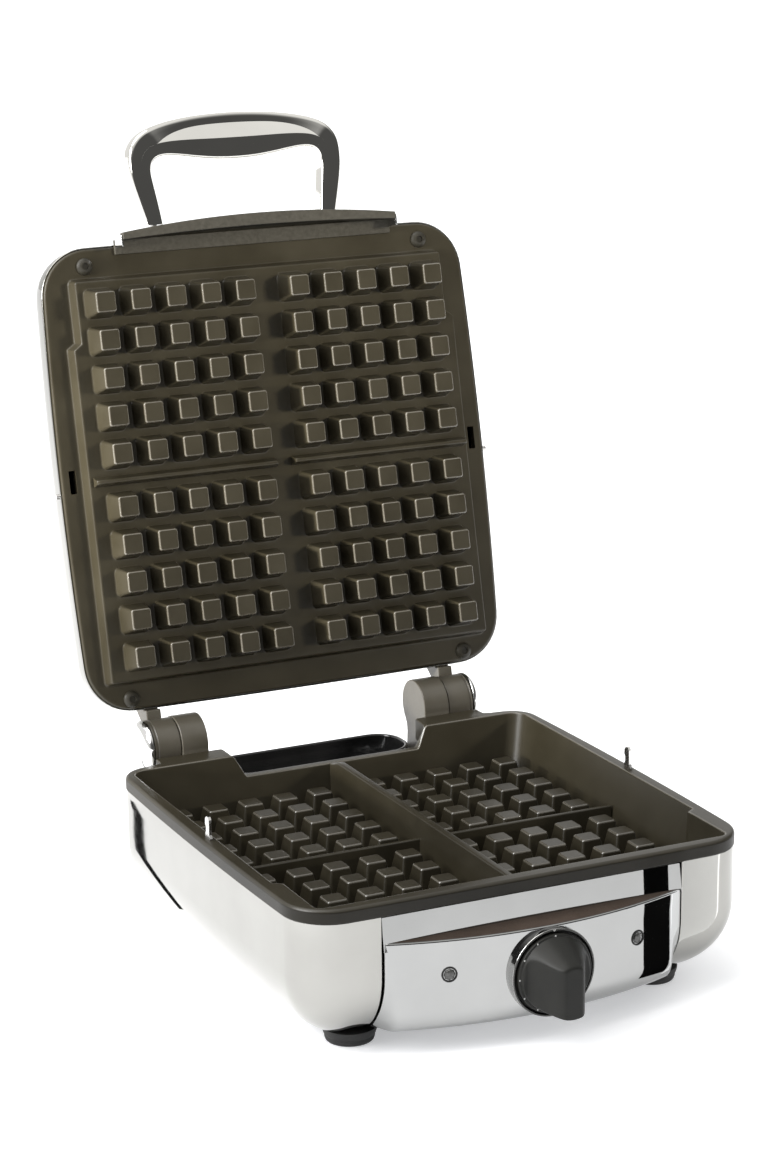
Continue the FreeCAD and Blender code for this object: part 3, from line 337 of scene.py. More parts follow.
# ------------------------------------------------------------------ peg field
FR = (0.0, 0.13, 0.26, 0.74, 0.87)
CX = [6.5] + [PX0 + PITCH * (i + 0.5) for i in range(4)] + [117.2]
CY = [4.5] + [PY0 + PITCH * (i + 0.5) for i in range(4)] + [115.6]


def rounded_square(cx, cy, h, r):
    out = []
    cs = [(-1, -1), (1, -1), (1, 1), (-1, 1)]
    for k in range(4):
        (sx, sy), (tx, ty) = cs[k], cs[(k + 1) % 4]
        m = 225 + 90 * k
        for a in (m, m + 22.5, m + 45):
            out.append((cx + sx * (h - r) + r * math.cos(math.radians(a)), cy + sy * (h - r) + r * math.sin(math.radians(a))))
        for a in (m + 45, m + 67.5):
            out.append((cx + tx * (h - r) + r * math.cos(math.radians(a)), cy + ty * (h - r) + r * math.sin(math.radians(a))))
    return np.array(out)


def cell_edge(x0, x1, y0, y1):
    p = [(x0 + (x1 - x0) * f, y0) for f in FR] + [(x1, y0 + (y1 - y0) * f) for f in FR]
    p += [(x1 + (x0 - x1) * f, y1) for f in FR] + [(x0, y1 + (y0 - y1) * f) for f in FR]
    return np.array(p)


def peg_field(skin, profile):
    """Four wells of five by five pegs on a level floor, with the plain floor between the wells.
    profile: (half width, corner radius, height) from the foot to the top, first entry gives the floor height."""
    zf = profile[0][2]
    for sx in (-1, 1):
        for sy in (-1, 1):
            for i in range(5):
                for j in range(5):
                    xa, xb = sorted((sx * CX[i], sx * CX[i + 1]))
                    ya, yb = sorted((sy * CY[j], sy * CY[j + 1]))
                    cx, cy = sx * (PX0 + PITCH * i), sy * (PY0 + PITCH * j)
                    rings = [at_z(cell_edge(xa, xb, ya, yb), zf)]
                    rings += [at_z(rounded_square(cx, cy, h, r), z) for h, r, z in profile]
                    # the three top bevel strips of each peg take material 1, the lighter edge coating: painted
                    # highlight lines
                    skin.loft(rings, True, False, True, mats=[0] * (len(profile) - 4) + [1, 1, 1, 0])
    ys = []
    for s in (-1, 1):
        for j in range(5):
            a, b = sorted((s * CY[j], s * CY[j + 1]))
            ys.append([a + (b - a) * f for f in FR + (1.0,)])
            for sx in (1,):
                l = skin.pts([(-CX[0], y, zf) for y in ys[-1]])
                r = skin.pts([(CX[0], y, zf) for y in ys[-1]])
                skin.strip(l, r, False)
    for s in (-1, 1):
        for i in range(5):
            a, b = sorted((s * CX[i], s * CX[i + 1]))
            xs = [a + (b - a) * f for f in FR + (1.0,)]
            l = skin.pts([(x, -CY[0], zf) for x in xs])
            r = skin.pts([(x, CY[0], zf) for x in xs])
            skin.strip(l, r, False)
    q = skin.pts([(-CX[0], -CY[0], zf), (CX[0], -CY[0], zf), (CX[0], CY[0], zf), (-CX[0], CY[0], zf)])
    skin.face(q)
    xs = sorted({round(s * (CX[i] + (CX[i + 1] - CX[i]) * f), 6) for s in (-1, 1) for i in range(5) for f in FR + (1.0,)})
    yl = sorted({round(s * (CY[i] + (CY[i + 1] - CY[i]) * f), 6) for s in (-1, 1) for i in range(5) for f in FR + (1.0,)})
    loop = [(x, yl[0]) for x in xs[:-1]] + [(xs[-1], y) for y in yl[:-1]]
    loop += [(x, yl[-1]) for x in xs[:0:-1]] + [(xs[0], y) for y in yl[:0:-1]]
    return np.array(loop), zf


def bridge(skin, outer_idx, inner_idx, mat=0):
    """Level ring of faces between two loops that both run round the origin."""
    P = np.array(skin.v)
    ang = lambda ids: np.unwrap(np.arctan2(P[ids, 1], P[ids, 0]))

    def ordered(ids):
        a = np.arctan2(P[ids, 1], P[ids, 0])
        k = int(np.argmin(a))
        ids = list(ids[k:]) + list(ids[:k])
        a = np.arctan2(P[ids, 1], P[ids, 0])
        if np.sum(np.diff(a) < 0) > len(ids) / 2:
            ids = [ids[0]] + ids[:0:-1]
        a = np.arctan2(P[ids, 1], P[ids, 0])
        return ids, np.append(a, a[0] + 2 * math.pi)

    o, oa = ordered(list(outer_idx))
    n, na = ordered(list(inner_idx))
    i = j = 0
    while i < len(o) or j < len(n):
        if j >= len(n) or (i < len(o) and oa[i + 1] <= na[j + 1]):
            skin.face((o[i], o[(i + 1) % len(o)], n[j % len(n)]), mat)
            i += 1
        else:
            skin.face((o[i % len(o)], n[(j + 1) % len(n)], n[j]), mat)
            j += 1


# ------------------------------------------------------------------ materials
def new_mat(name):
    m = bpy.data.materials.new(name)
    m.use_nodes = True
    return m, m.node_tree, m.node_tree.nodes["Principled BSDF"]


def tex(nt, scale, detail=3.0, rough=0.55, stretch=None, kind="ShaderNodeTexNoise"):
    tc = nt.nodes.new("ShaderNodeTexCoord")
    n = nt.nodes.new(kind)
    n.inputs["Scale"].default_value = scale
    if "Detail" in n.inputs:
        n.inputs["Detail"].default_value = detail
        n.inputs["Roughness"].default_value = rough
    if stretch:
        mp = nt.nodes.new("ShaderNodeMapping")
        mp.inputs["Scale"].default_value = stretch
        nt.links.new(tc.outputs["Object"], mp.inputs["Vector"])
        nt.links.new(mp.outputs["Vector"], n.inputs["Vector"])
    else:
        nt.links.new(tc.outputs["Object"], n.inputs["Vector"])
    return n.outputs[0]


def ramp(nt, fac, stops):
    r = nt.nodes.new("ShaderNodeValToRGB")
    el = r.color_ramp.elements
    while len(el) < len(stops):
        el.new(0.5)
    for e, (p, c) in zip(el, stops):
        e.position = p
        e.color = (c[0], c[1], c[2], 1.0)
    nt.links.new(fac, r.inputs["Fac"])
    return r.outputs["Color"]


def span(nt, fac, lo, hi, a=0.3, b=0.7):
    r = nt.nodes.new("ShaderNodeMapRange")
    for k, v in (("From Min", a), ("From Max", b), ("To Min", lo), ("To Max", hi)):
        r.inputs[k].default_value = v
    nt.links.new(fac, r.inputs["Value"])
    return r.outputs["Result"]


def bumped(nt, bsdf, height, strength, distance):
    b = nt.nodes.new("ShaderNodeBump")
    b.inputs["Strength"].default_value = strength
    b.inputs["Distance"].default_value = distance
    nt.links.new(height, b.inputs["Height"])
    nt.links.new(b.outputs["Normal"], bsdf.inputs["Normal"])
    return b


def surface(name, dark, light, r0, r1, scale=40.0, fine=900.0, bump=0.0, dist=0.0001, metallic=0.0, spec=0.5, coat=0.0, stretch=None, coat_rough=0.05, ior=1.5):
    m, nt, b = new_mat(name)
    nt.links.new(ramp(nt, tex(nt, scale, 4.0), [(0.3, dark), (0.7, light)]), b.inputs["Base Color"])
    f = tex(nt, fine, 3.0, 0.6, stretch)
    nt.links.new(span(nt, f, r0, r1), b.inputs["Roughness"])
    b.inputs["Metallic"].default_value = metallic
    b.inputs["Specular IOR Level"].default_value = spec
    b.inputs["IOR"].default_value = ior
    b.inputs["Coat Weight"].default_value = coat
    b.inputs["Coat Roughness"].default_value = coat_rough
    if bump:
        bumped(nt, b, f, bump, dist)
    return m


COAT = surface("plate_coating", (0.0150, 0.0126, 0.0073), (0.0226, 0.0195, 0.0124), 0.29, 0.39, 30.0, 1500.0, 0.26, 0.00012, spec=0.40)
# darker, less glossy copy of the coating for the rim's outer side faces: painted shade
SIDE_SHADE = surface("plate_coating_side_shade", (0.0072, 0.0061, 0.0036), (0.0110, 0.0095, 0.0061), 0.34, 0.44, 30.0, 1500.0, 0.26, 0.00012, spec=0.22)
# lighter, glossier copy of the coating for the peg and rim edge bevels: painted highlight lines
EDGE_HIGHLIGHT = surface("plate_coating_painted_highlight", (0.046, 0.041, 0.031), (0.066, 0.060, 0.048), 0.20, 0.28, 40.0, 1500.0, 0.12, 0.0001, spec=0.95)
STEEL = surface("polished_shell", (0.318, 0.314, 0.297), (0.353, 0.349, 0.331), 0.035, 0.065, 18.0, 260.0, metallic=1.0)
PANEL = surface("satin_panel", (0.318, 0.320, 0.316), (0.342, 0.344, 0.340), 0.018, 0.030, 22.0, 420.0, metallic=1.0)
LEDGE = surface("panel_ledge", (0.034, 0.024, 0.018), (0.050, 0.036, 0.028), 0.50, 0.62, 60.0, 1200.0, 0.15, 0.0001, spec=0.18)
CASTING = surface("hinge_casting", (0.040, 0.036, 0.027), (0.055, 0.050, 0.040), 0.30, 0.40, 45.0, 1300.0, 0.20, 0.0001)
CHROME = surface("chrome_trim", (0.74, 0.74, 0.73), (0.80, 0.80, 0.79), 0.02, 0.05, 25.0, 300.0, metallic=1.0)
GRIP = surface("handle_chrome", (0.70, 0.688, 0.650), (0.76, 0.747, 0.708), 0.02, 0.05, 25.0, 300.0, metallic=1.0)
BUMPER = surface("bumper_plastic", (0.021, 0.0190, 0.0138), (0.034, 0.0312, 0.0243), 0.55, 0.68, 420.0, 1600.0, 0.45, 0.0002)
BLACK = surface("black_plastic", (0.014, 0.014, 0.014), (0.026, 0.025, 0.024), 0.42, 0.55, 80.0, 1500.0, 0.35, 0.00015)
GLOSS = surface("gloss_black", (0.006, 0.006, 0.006), (0.012, 0.012, 0.012), 0.06, 0.12, 40.0, 700.0, coat=0.6)
KNOB = surface("knob_plastic", (0.0092, 0.0092, 0.0080), (0.0132, 0.0132, 0.0116), 0.38, 0.47, 55.0, 1700.0, 0.14, 0.0001, spec=0.20)
BEZEL = surface("bezel_plastic", (0.024, 0.024, 0.022), (0.038, 0.038, 0.035), 0.22, 0.32, 70.0, 1400.0, 0.10, 0.0001)
RUBBER = surface("rubber_feet", (0.010, 0.010, 0.010), (0.020, 0.020, 0.019), 0.62, 0.8, 120.0, 1400.0, 0.4, 0.0002)
SCREW = surface("black_steel", (0.0100, 0.0090, 0.0062), (0.0165, 0.0150, 0.0112), 0.38, 0.50, 150.0, 1400.0, 0.18, 0.0001, spec=0.35)
PARTS = surface("steel_parts", (0.52, 0.51, 0.50), (0.64, 0.63, 0.61), 0.18, 0.32, 90.0, 900.0, 0.12, 0.0001, metallic=1.0)
SHIELD = surface("shield_metal", (0.55, 0.55, 0.54), (0.66, 0.66, 0.65), 0.24, 0.36, 60.0, 600.0, 0.1, 0.0001, metallic=1.0)
LENS = surface("lens_plastic", (0.016, 0.016, 0.015), (0.072, 0.072, 0.068), 0.12, 0.22, 700.0, 900.0, 0.3, 0.0003, coat=0.35)
RING = surface("dial_ring", (0.40, 0.40, 0.395), (0.48, 0.48, 0.472), 0.07, 0.13, 60.0, 900.0, metallic=1.0)
# darker copy of the bumper plastic for the bar and web behind the lip: painted shade in the undercut
UNDERCUT_SHADE = surface("bumper_shade", (0.009, 0.008, 0.0052), (0.0140, 0.0126, 0.0085), 0.6, 0.72, 200.0, 1500.0, 0.2, 0.0001, spec=0.2)
# near-black: the real colour of the lens sockets, and painted shade where it lines the gap round the knob in the dial
# bezel
SOCKET_AND_GAP_SHADE = surface("lens_socket_and_gap_shade", (0.008, 0.008, 0.008), (0.014, 0.014, 0.013), 0.5, 0.62, 90.0, 1500.0, 0.2, 0.0001, spec=0.3)
WHITE = surface("dial_print", (0.30, 0.30, 0.29), (0.38, 0.38, 0.37), 0.45, 0.55, 200.0, 1500.0, 0.1, 0.00005)
LAMP = surface("lamp_glass", (0.25, 0.22, 0.18), (0.36, 0.32, 0.26), 0.12, 0.2, 200.0, 900.0)

# ===========================================================================
# LOWER PLATE
# ===========================================================================
RIM_TOP, RIM_LOW, FLOOR = 22.5, 14.5, -14.0
REAR = [  # across on the inside, across on the outside, outer edge (front to back)
    (109.6, 109.2, 134.4), (108.9, 108.5, 134.55), (108.4, 108.1, 135.1), (108.0, 108.0, 136.0), (107.3, 108.0, 141.6), (106.8, 107.75, 142.8),
    (106.2, 107.0, 143.4), (105.3, 106.0, 143.6), (98, 98, 143.6), (90, 90, 143.6), (82, 82, 143.6), (74, 74, 143.6), (68.2, 66.8, 143.6), (67.3, 65.7, 143.4),
    (66.7, 64.85, 142.8), (66.2, 64.6, 141.6), (65.6, 64.5, 136.0), (65.0, 64.4, 131.5), (64.5, 64.2, 129.6), (63.9, 63.8, 128.9), (63.1, 63.1, 128.7), (61.2, 61.2, 128.7),
    (59.4, 59.4, 128.7), (58.6, 58.6, 128.7), (57.8, 57.8, 128.7), (57.0, 57.0, 128.7), (55.6, 55.6, 128.7), (48, 48, 128.7), (38, 38, 128.7), (28, 28, 128.7), (18, 18, 128.7), (9, 9, 128.7), (0, 0, 128.7)]


def drop(x):
    """How far the rear edge lies below the rim between the hinge lands."""
    x = abs(x)
    full, lo, hi = 12.9, 57.8, 64.5
    s = full / (hi - lo)
    d = full - s * (x - lo)
    r = 1.1
    if x <= lo - r:
        return full
    if x < lo + r:
        t = (x - lo + r) / (2 * r)
        return full - s * r * t * t
    if x < hi - r:
        return d
    if x < hi + r:
        t = (hi + r - x) / (2 * r)
        return s * r * t * t
    return 0.0


kw = dict(nf=20, nc=9, nr=2, x1=112.0, step=(7, -83.6, -80.0, 21))
h_out = half_outline(138.0, -134.5, 134.5, 2.6, 27.0, 17.0, 1.6, **kw)
h_tub = half_outline(133.5, -130.0, 130.0, 2.6, 23.0, 13.0, 1.6, **kw)
h_low = half_outline(123.5, -121.0, 121.5, 2.6, 15.0, 9.0, 1.6, **kw)
kj = dict(nf=20, nc=9, n1=7, n2=21, nr=2, x1=112.0)
h_mouth = half_jog(129.5, 124.5, -126.0, 127.0, 4.5, 9.0, -80.0, -83.6, **kj)
h_floor = half_jog(120.5, 120.4, -116.6, 116.8, 6.0, 8.0, -83.0, -87.6, **kj)
n0 = len(h_out)
assert len(h_mouth) == n0 and len(h_floor) == n0
h_out = np.vstack([h_out, [(o, y) for _, o, y in REAR]])
h_tub = np.vstack([h_tub, [(m, min(128.2, y - 0.5)) for m, _, y in REAR]])
h_low = np.vstack([h_low, [(m, 121.5) for m, _, _ in REAR]])
h_mouth = np.vstack([h_mouth, [(m, 127.0) for m, _, _ in REAR]])
h_floor = np.vstack([h_floor, [(m * 1.0, 116.8) for m, _, _ in REAR]])
dz = np.array([0.0] * n0 + [drop(m) for m, _, _ in REAR])
land = np.array([0.0] * n0 + [1.0 if y > 128.71 and abs(m) > 64 else 0.0 for m, _, y in REAR])
notch = np.array([0.0] * n0 + [1.0 if m < 65.3 else 0.0 for m, _, _ in REAR])
fr = np.array([2.2] * n0 + [0.9] * len(REAR))
fr[n0 - 3:n0] = (2.0, 1.6, 1.2)
zlow = np.where(notch > 0, 3.0, np.where(land > 0, 9.0, RIM_LOW))


def loop1(a):
    a = np.asarray(a, float)
    return np.concatenate([a, a[::-1][1:-1]])


O, TB, LW, MO, FL = (both(h) for h in (h_out, h_tub, h_low, h_mouth, h_floor))
DZ, FRR, ZL = loop1(dz), loop1(fr), loop1(zlow)
ZT = RIM_TOP - DZ


def wall_xy(z):
    """Point of the well wall at height z, station by station."""
    k = (np.broadcast_to(np.asarray(z, float), (len(MO),)) - FLOOR) / (RIM_TOP - FLOOR)
    return FL + (MO - FL) * k[:, None]


toward = FL - MO
toward = toward / np.linalg.norm(toward, axis=1)[:, None]
sk = Skin()
rings = [at_z(LW, -18.0), at_z(TB, ZL), at_z(inset(O, 0.5), ZL), at_z(O, ZL + 0.5), at_z(O, ZT - FRR)]
for a in (22.5, 45, 67.5, 90):
    a = math.radians(a)
    rings.append(at_z(inset(O, FRR * (1 - math.cos(a))), ZT - FRR * (1 - math.sin(a))))
e = wall_xy(ZT)
rings += [at_z(inset(e, -1.0), ZT), at_z(inset(e, -0.42), ZT - 0.10), at_z(inset(e, -0.02), ZT - 0.42), at_z(wall_xy(ZT - 1.1), ZT - 1.1)]
for f in (0.35, 0.7):
    z = (ZT - 1.1) + (-10.5 - (ZT - 1.1)) * f
    rings.append(at_z(wall_xy(z), z))
for z, i in ((-10.5, 0.0), (-11.9, 0.15), (-13.0, 0.75), (-13.75, 1.8), (-14.0, 3.2)):
    rings.append(at_z(wall_xy(z) + toward * i, z))
# strips 2 to 4, the rim's outer side, take the darker side coating (painted shade); strips 9 and 10, the inner edge of
# the rim top, take the lighter edge coating (painted highlight lines)
idx = sk.loft(rings, True, True, False, mats=[0, 0, 2, 2, 2, 0, 0, 0, 0, 1, 1] + [0] * (len(rings) - 12))
loop, zf = peg_field(sk, [(9.6, 3.4, -14.0), (9.0, 3.0, -13.82), (8.6, 2.7, -13.2), (8.35, 2.5, -12.2), (6.12, 1.5, -1.05), (5.97, 1.45, -0.58), (5.70, 1.3, -0.22), (5.30, 1.1, -0.04), (4.9, 0.95, 0.0)])
bridge(sk, idx[-1], sk.pts(at_z(loop, zf)))
# divider between the left and right wells, its top easing down to the rear edge
ysd = [-124.0] + list(np.linspace(-118, 108, 12)) + [112, 115, 118, 120.5, 122.5, 124.2]
rings = []
for y in ysd:
    zt = 13.0 - 3.5 * float(smooth(111, 123.5, y))
    w = lambda z: 2.3 + (13.0 - z) * 2.6 / 27.5
    half = [(w(-15.2), -15.2), (w(zt - 1.1), zt - 1.1), (w(zt) - 0.12, zt - 0.55), (w(zt) - 0.5, zt - 0.15), (w(zt) - 1.1, zt)]
    prof = half + [(-a, b) for a, b in half[::-1]]
    rings.append([(a, y, b) for a, b in prof])
sk.loft(rings, True, True, True)
for s in (-1, 1):
    rings = []
    for x in (1.8, 20, 40, 60, 80, 100, 118, 122.0):
        half = [(3.6, -15.2), (1.42, 0.1), (1.28, 0.55), (0.95, 0.88), (0.5, 1.0)]
        prof = half + [(-a, b) for a, b in half[::-1]]
        rings.append([(s * x, a, b) for a, b in prof])
    sk.loft(rings, True, True, True)
make("lower_plate_casting", sk, on_base, [COAT, EDGE_HIGHLIGHT, SIDE_SHADE], "base", ["lower_plate"], sharp=38)

# ===========================================================================
# BASE SHELL
# ===========================================================================
def roll_levels(r, inset_to, n=9):
    a1 = math.acos(1 - inset_to / r)
    return [(r * (1 - math.cos(a1 * i / n)), r * math.sin(a1 * i / n)) for i in range(n + 1)]


sk = Skin()
rings = []
kb = dict(nf=6, nc=12, ns=40, nr=30, x0=90.9)


def jacket(h, z):
    """Open ring of the jacket with its two edges turned in beside the panel."""
    z = np.broadcast_to(np.asarray(z, float), (len(h),))
    r = np.column_stack([h, z])
    a = r[:1] + [0.0, 9.0, 0.0]
    r = np.vstack([a, r[:1] + [0.0, 0.35, 0.0], r[:1] + [0.12, 0.1, 0.0], r[:1] + [0.4, 0.0, 0.0], r[1:]])
    l = r[::-1].copy()
    l[:, 0] *= -1
    return np.vstack([r, l[1:]])


hh = half_outline(137.5, -134.0, 134.0, 2.6, 26.5, 16.5, 1.6, **kb)
top = np.array([5.4 if (y > 128 and x < 108.4) else 14.3 for x, y in hh])
rings.append(jacket(hh, top))
for z in (5.0, -2.0, -10.0):
    rings.append(jacket(hh, z))
for i, d in roll_levels(42.0, 31.5, 15):
    h2 = half_outline(137.5 - i, -134.0 + i, 134.0 - i, 2.6, max(26.5 - 0.72 * i, 6), max(16.5 - 0.5 * i, 5), 1.6, **kb)
    rings.append(jacket(h2, -18.5 - d))
sk.loft(rings, False)
make("base_jacket", sk, on_base, [STEEL], "base", ["base_shell"], solid=0.8, sharp=50)

# underside plate inside the rolled edge, with vent slots
sk = Skin()
slab_z(sk, both(half_outline(106.0, -103.0, 102.5, 2.0, 9.0, 9.0, 1.0, nf=20, nc=8, ns=24, nr=20)), -58.6, -56.9, 0.5)
vents = Skin()
for k in range(-3, 4):
    o = round_poly([(-30.0, 9.0 * k - 1.6), (30.0, 9.0 * k - 1.6), (30.0, 9.0 * k + 1.6), (-30.0, 9.0 * k + 1.6)], 1.5, 5)
    vents.loft([at_z(o, -60.0), at_z(o, -55.0)], True, True, True)
make("underside_plate", sk, on_base, [SCREW], "base", ["bottom_cover"], sharp=38, holes=vents)

# ===========================================================================
# FRONT FASCIA: strip, dark ledge and bowed panel
# ===========================================================================
PANEL_HX, PANEL_YF, PANEL_R, PANEL_TOP = 89.8, -150.5, 261.5, -0.4


def panel_y(x):
    return PANEL_YF + PANEL_R - math.sqrt(PANEL_R ** 2 - x * x)


def quarter(d, r):
    """How far a quarter round of radius r has come in, d below its start."""
    return r * (1 - math.sqrt(1 - min(max(d / r, 0.0), 1.0) ** 2))


def panel_half(off, z, back, n=34):
    """Right half of the panel's plan at height z; its ends follow the jacket's roll."""
    h, r = PANEL_HX, 1.1
    mid = quarter(-41.5 - z, 12.5)
    end = max(mid, quarter(-18.5 - z, 42.0) - 0.2)
    Y = lambda x: panel_y(x) + off + mid + (end - mid) * float(smooth(82.5, h, x))
    p = [(x, Y(x)) for x in list(np.linspace(0, 81.5, n - 8)) + list(np.linspace(82.6, h - r, 8))]
    ye = Y(h)
    p += [(h - 0.5, ye + 0.1), (h - 0.12, ye + 0.5), (h, ye + 1.1), (h, back)]
    return np.array(p)


sk = Skin()
rings = []
for i, z in ((1.2, -0.4), (0.6, -0.55), (0.2, -0.95), (0.0, -1.7), (0.0, -10.0), (0.0, -18.5), (0.0, -22.0), (0.0, -26.0), (0.0, -30.0), (0.0, -34.0)):
    rings.append(at_z(both(panel_half(i, z, -128.0)), z))
for z in (-37.0, -39.5, -41.5):
    rings.append(at_z(both(panel_half(0.0, z, -107.0)), z))
for a in (12, 24, 36, 48, 60, 74, 90):
    z = -41.5 - 12.5 * math.sin(math.radians(a))
    rings.append(at_z(both(panel_half(0.0, z, -107.0)), z))
idx = sk.loft(rings, True, False, True)
sk.face(idx[0][::-1], 1)
# strip under the rim, leaning back a little, with a short tab at each end
strip = round_poly([(-90.4, -5.2), (-89.9, -5.2), (-89.6, -0.9), (89.6, -0.9), (89.9, -3.0), (90.4, -3.0), (90.4, 13.6), (-90.4, 13.6)], [0.2, 0.2, 0.2, 0.2, 0.2, 0.2, 0.6, 0.6], 4)
o = strip
rings = []
for t in (90, 60, 30, 0):
    q = inset(o, 0.3 * (1 - math.cos(math.radians(t))))
    rings.append(np.column_stack([q[:, 0], -134.05 + 0.3 * (1 - math.sin(math.radians(t))) + 2.3 * (q[:, 1] - 1.0) / 13.0, q[:, 1]]))
rings.append(np.column_stack([o[:, 0], np.full(len(o), -131.5) + 2.3 * (o[:, 1] - 1.0) / 13.0, o[:, 1]]))
sk.loft(rings, True, True, True)
make("control_fascia", sk, on_base, [PANEL, LEDGE], "base", ["front_fascia"], sharp=50)

# ===========================================================================
# CONTROLS
# ===========================================================================
KZ, PF = -25.8, -150.5
sk = Skin()
# the bore and the inner wall of the bezel lip take material 2, the near-black socket material: painted shade in the gap
# round the knob
revolve(sk, [(6.2, 1.6), (24.8, 1.6), (24.8, -3.3), (24.68, -3.68), (24.4, -3.92), (24.05, -4.0), (23.72, -3.9), (23.5, -3.6), (23.3, -2.9), (22.9, -2.5), (22.7, -1.6), (6.2, -1.6), (6.2, 1.6)],
        (0, PF, KZ), (0, 1, 0), 80, mats=[0, 1, 1, 0, 0, 0, 1, 1, 2, 2, 2, 2])
make("dial_bezel", sk, on_base, [BEZEL, RING, SOCKET_AND_GAP_SHADE], "base", ["knob_bezel"], sharp=42)

KNY = -152.6


def knob_height(u, v):
    """Grip with hollow flanks, cut back above by a steep cone."""
    r = np.hypot(u, v)
    bell = 5.2 + 19.1 * (1 - smooth(4.4, 18.0, np.abs(u)))
    k = 2.1 + 7.0 * smooth(3.0, -9.0, v)
    cap = 3.6 + k * (20.9 - r)
    w = 0.9
    h = -w * np.logaddexp(-bell / w, -cap / w)
    return np.maximum(h, 3.45)


sk = Skin()
NA = 160
rad = [0.0] + list(np.linspace(0.9, 18.0, 34)) + list(np.linspace(18.3, 21.0, 14)) + [21.4]
t = np.arange(NA) * 2 * math.pi / NA
rings = []
for r in rad:
    u, v = r * np.cos(t), r * np.sin(t)
    rings.append((u, v, knob_height(u, v)))
prev = None
mid = sk.pts([(0, KNY - float(knob_height(0.0, 0.0)), KZ)])[0]
for k, (u, v, h) in enumerate(rings):
    if k == 0:
        continue
    cur = sk.pts(np.column_stack([u, KNY - h, KZ + v]))
    if prev is None:
        for i in range(NA):
            sk.face((mid, cur[i], cur[(i + 1) % NA]))
    else:
        sk.strip(prev, cur)
    prev = cur
for r, d in ((21.85, 3.32), (22.12, 2.95), (22.2, 2.4), (22.2, 0.3), (21.9, 0.0)):
    cur = sk.pts(np.column_stack([r * np.cos(t), np.full(NA, KNY - d), KZ + r * np.sin(t)]))
    sk.strip(prev, cur)
    prev = cur
sk.face(prev)
make("dial_knob", sk, on_base, [KNOB], "knob", ["control_knob"], sharp=60)

# setting dots on the skirt and the index mark on the bezel
sk = Skin()
for k in range(9):
    a = math.radians(90 + 30 * k)
    c = (21.35 * math.cos(a), KNY - 3.42, KZ + 21.35 * math.sin(a))
    revolve(sk, [(0.0, -0.22), (0.34, -0.20), (0.5, -0.08), (0.54, 0.12), (0.0, 0.12)], c, (0, 1, 0), 12)
make("dial_dots", sk, on_base, [WHITE], "knob")
sk = Skin()
tri = [(-0.9, 24.5), (0.9, 24.5), (0.0, 23.3)]
rings = [[(x, PF - 3.98, KZ + z) for x, z in tri], [(x * 0.94, PF - 4.16, KZ + 23.6 + (z - 23.6) * 0.94) for x, z in tri]]
sk.loft(rings, True, True, True)
make("dial_index", sk, on_base, [WHITE], "base")

for s, nm in ((-1, "power_lens"), (1, "ready_lens")):
    lens_at, lens_in = (s * 57.0, panel_y(57.0) + 0.1, -19.8), (-s * 57.0 / PANEL_R, math.sqrt(1 - (57.0 / PANEL_R) ** 2), 0)
    sk = Skin()
    revolve(sk, [(2.9, 1.0), (4.4, 1.0), (4.4, -0.35), (4.25, -0.6), (3.9, -0.7), (3.5, -0.55), (3.3, 0.0), (2.9, 0.3), (2.9, 1.0)], lens_at, lens_in, 40, mat=1)
    prof = [(3.25, 0.8), (3.25, -0.1), (2.6, -0.75), (1.5, -1.12), (0.0, -1.2)]
    revolve(sk, prof, lens_at, lens_in, 8, mat=0)
    make(nm + "_cap", sk, on_base, [LENS, SOCKET_AND_GAP_SHADE], "base", [nm], sharp=18)

# ===========================================================================
# FEET
# ===========================================================================
sk = Skin()
for sx in (-1, 1):
    for y in (-97.0, 100.0):
        revolve(sk, [(4.6, 2.6), (4.6, 0.5), (5.0, 0.0), (12.3, 0.0), (12.9, 0.15), (13.3, 0.6), (13.8, 2.2), (13.5, 2.9), (13.7, 3.5), (14.3, 4.3), (14.9, 6.2), (15.0, 7.9), (4.6, 7.9), (4.6, 2.6)],
                (sx * 93.5, y, -66.5), (0, 0, 1), 48)
make("rubber_foot_set", sk, on_base, [RUBBER], "base", ["feet"], sharp=45)

# ===========================================================================
# CATCH TROUGH AND HINGE BRACKETS
# ===========================================================================
def rrect(hx, y0, y1, r, n=8):
    return round_poly([(-hx, y0), (hx, y0), (hx, y1), (-hx, y1)], r, n)


sk = Skin()
T0, T1 = 134.7, 173.2
rings = []
for i, z in ((1.2, -10.0), (0.35, -9.8), (0.0, -9.0), (0.0, 5.5), (0.12, 6.3), (0.5, 6.7), (1.1, 6.8), (1.7, 6.7), (2.2, 6.3), (2.4, 5.5), (2.9, -5.0), (3.4, -6.6), (4.8, -7.6)):
    rings.append(at_z(rrect(62.0 - i, T0 + i, T1 - i, 17.0 - min(i, 4)), z))
sk.loft(rings, True, True, True)
make("catch_tray", sk, on_base, [GLOSS], "base", ["catch_trough"], sharp=45)

for s, side in ((-1, "left"), (1, "right")):
    sk = Skin()
    kn = arc_pts(HY, HZ, 16.3, -28, 186, 46)
    out = kn + [(143.9, 20.2), (143.7, 18.5), (143.7, -9.6), (171.6, -9.6), (171.2, -2.0), (170.6, 6.0), (171.2, 10.0), (173.0, 13.6), (174.9, 16.0)]
    xa, xb = sorted((s * 72.7, s * 89.5))
    slab_x(sk, out, xa, xb, 0.7)
    make("hinge_bracket_body_" + side, sk, on_base, [CASTING], "base", ["hinge_bracket_" + side], sharp=38)
    sk = Skin()
    xo = s * 107.2
    revolve(sk, [(0.0, 5.2), (5.0, 5.18), (9.0, 5.0), (11.6, 4.6), (13.6, 3.85), (15.0, 2.8), (15.9, 1.6), (16.2, 0.7), (16.0, 0.2), (15.4, 0.0), (0.0, 0.0)], (xo, HY, HZ), (s, 0, 0), 64)
    make("hinge_cap_dome_" + side, sk, on_base, [CHROME], "base", ["hinge_cap_" + side], sharp=60)

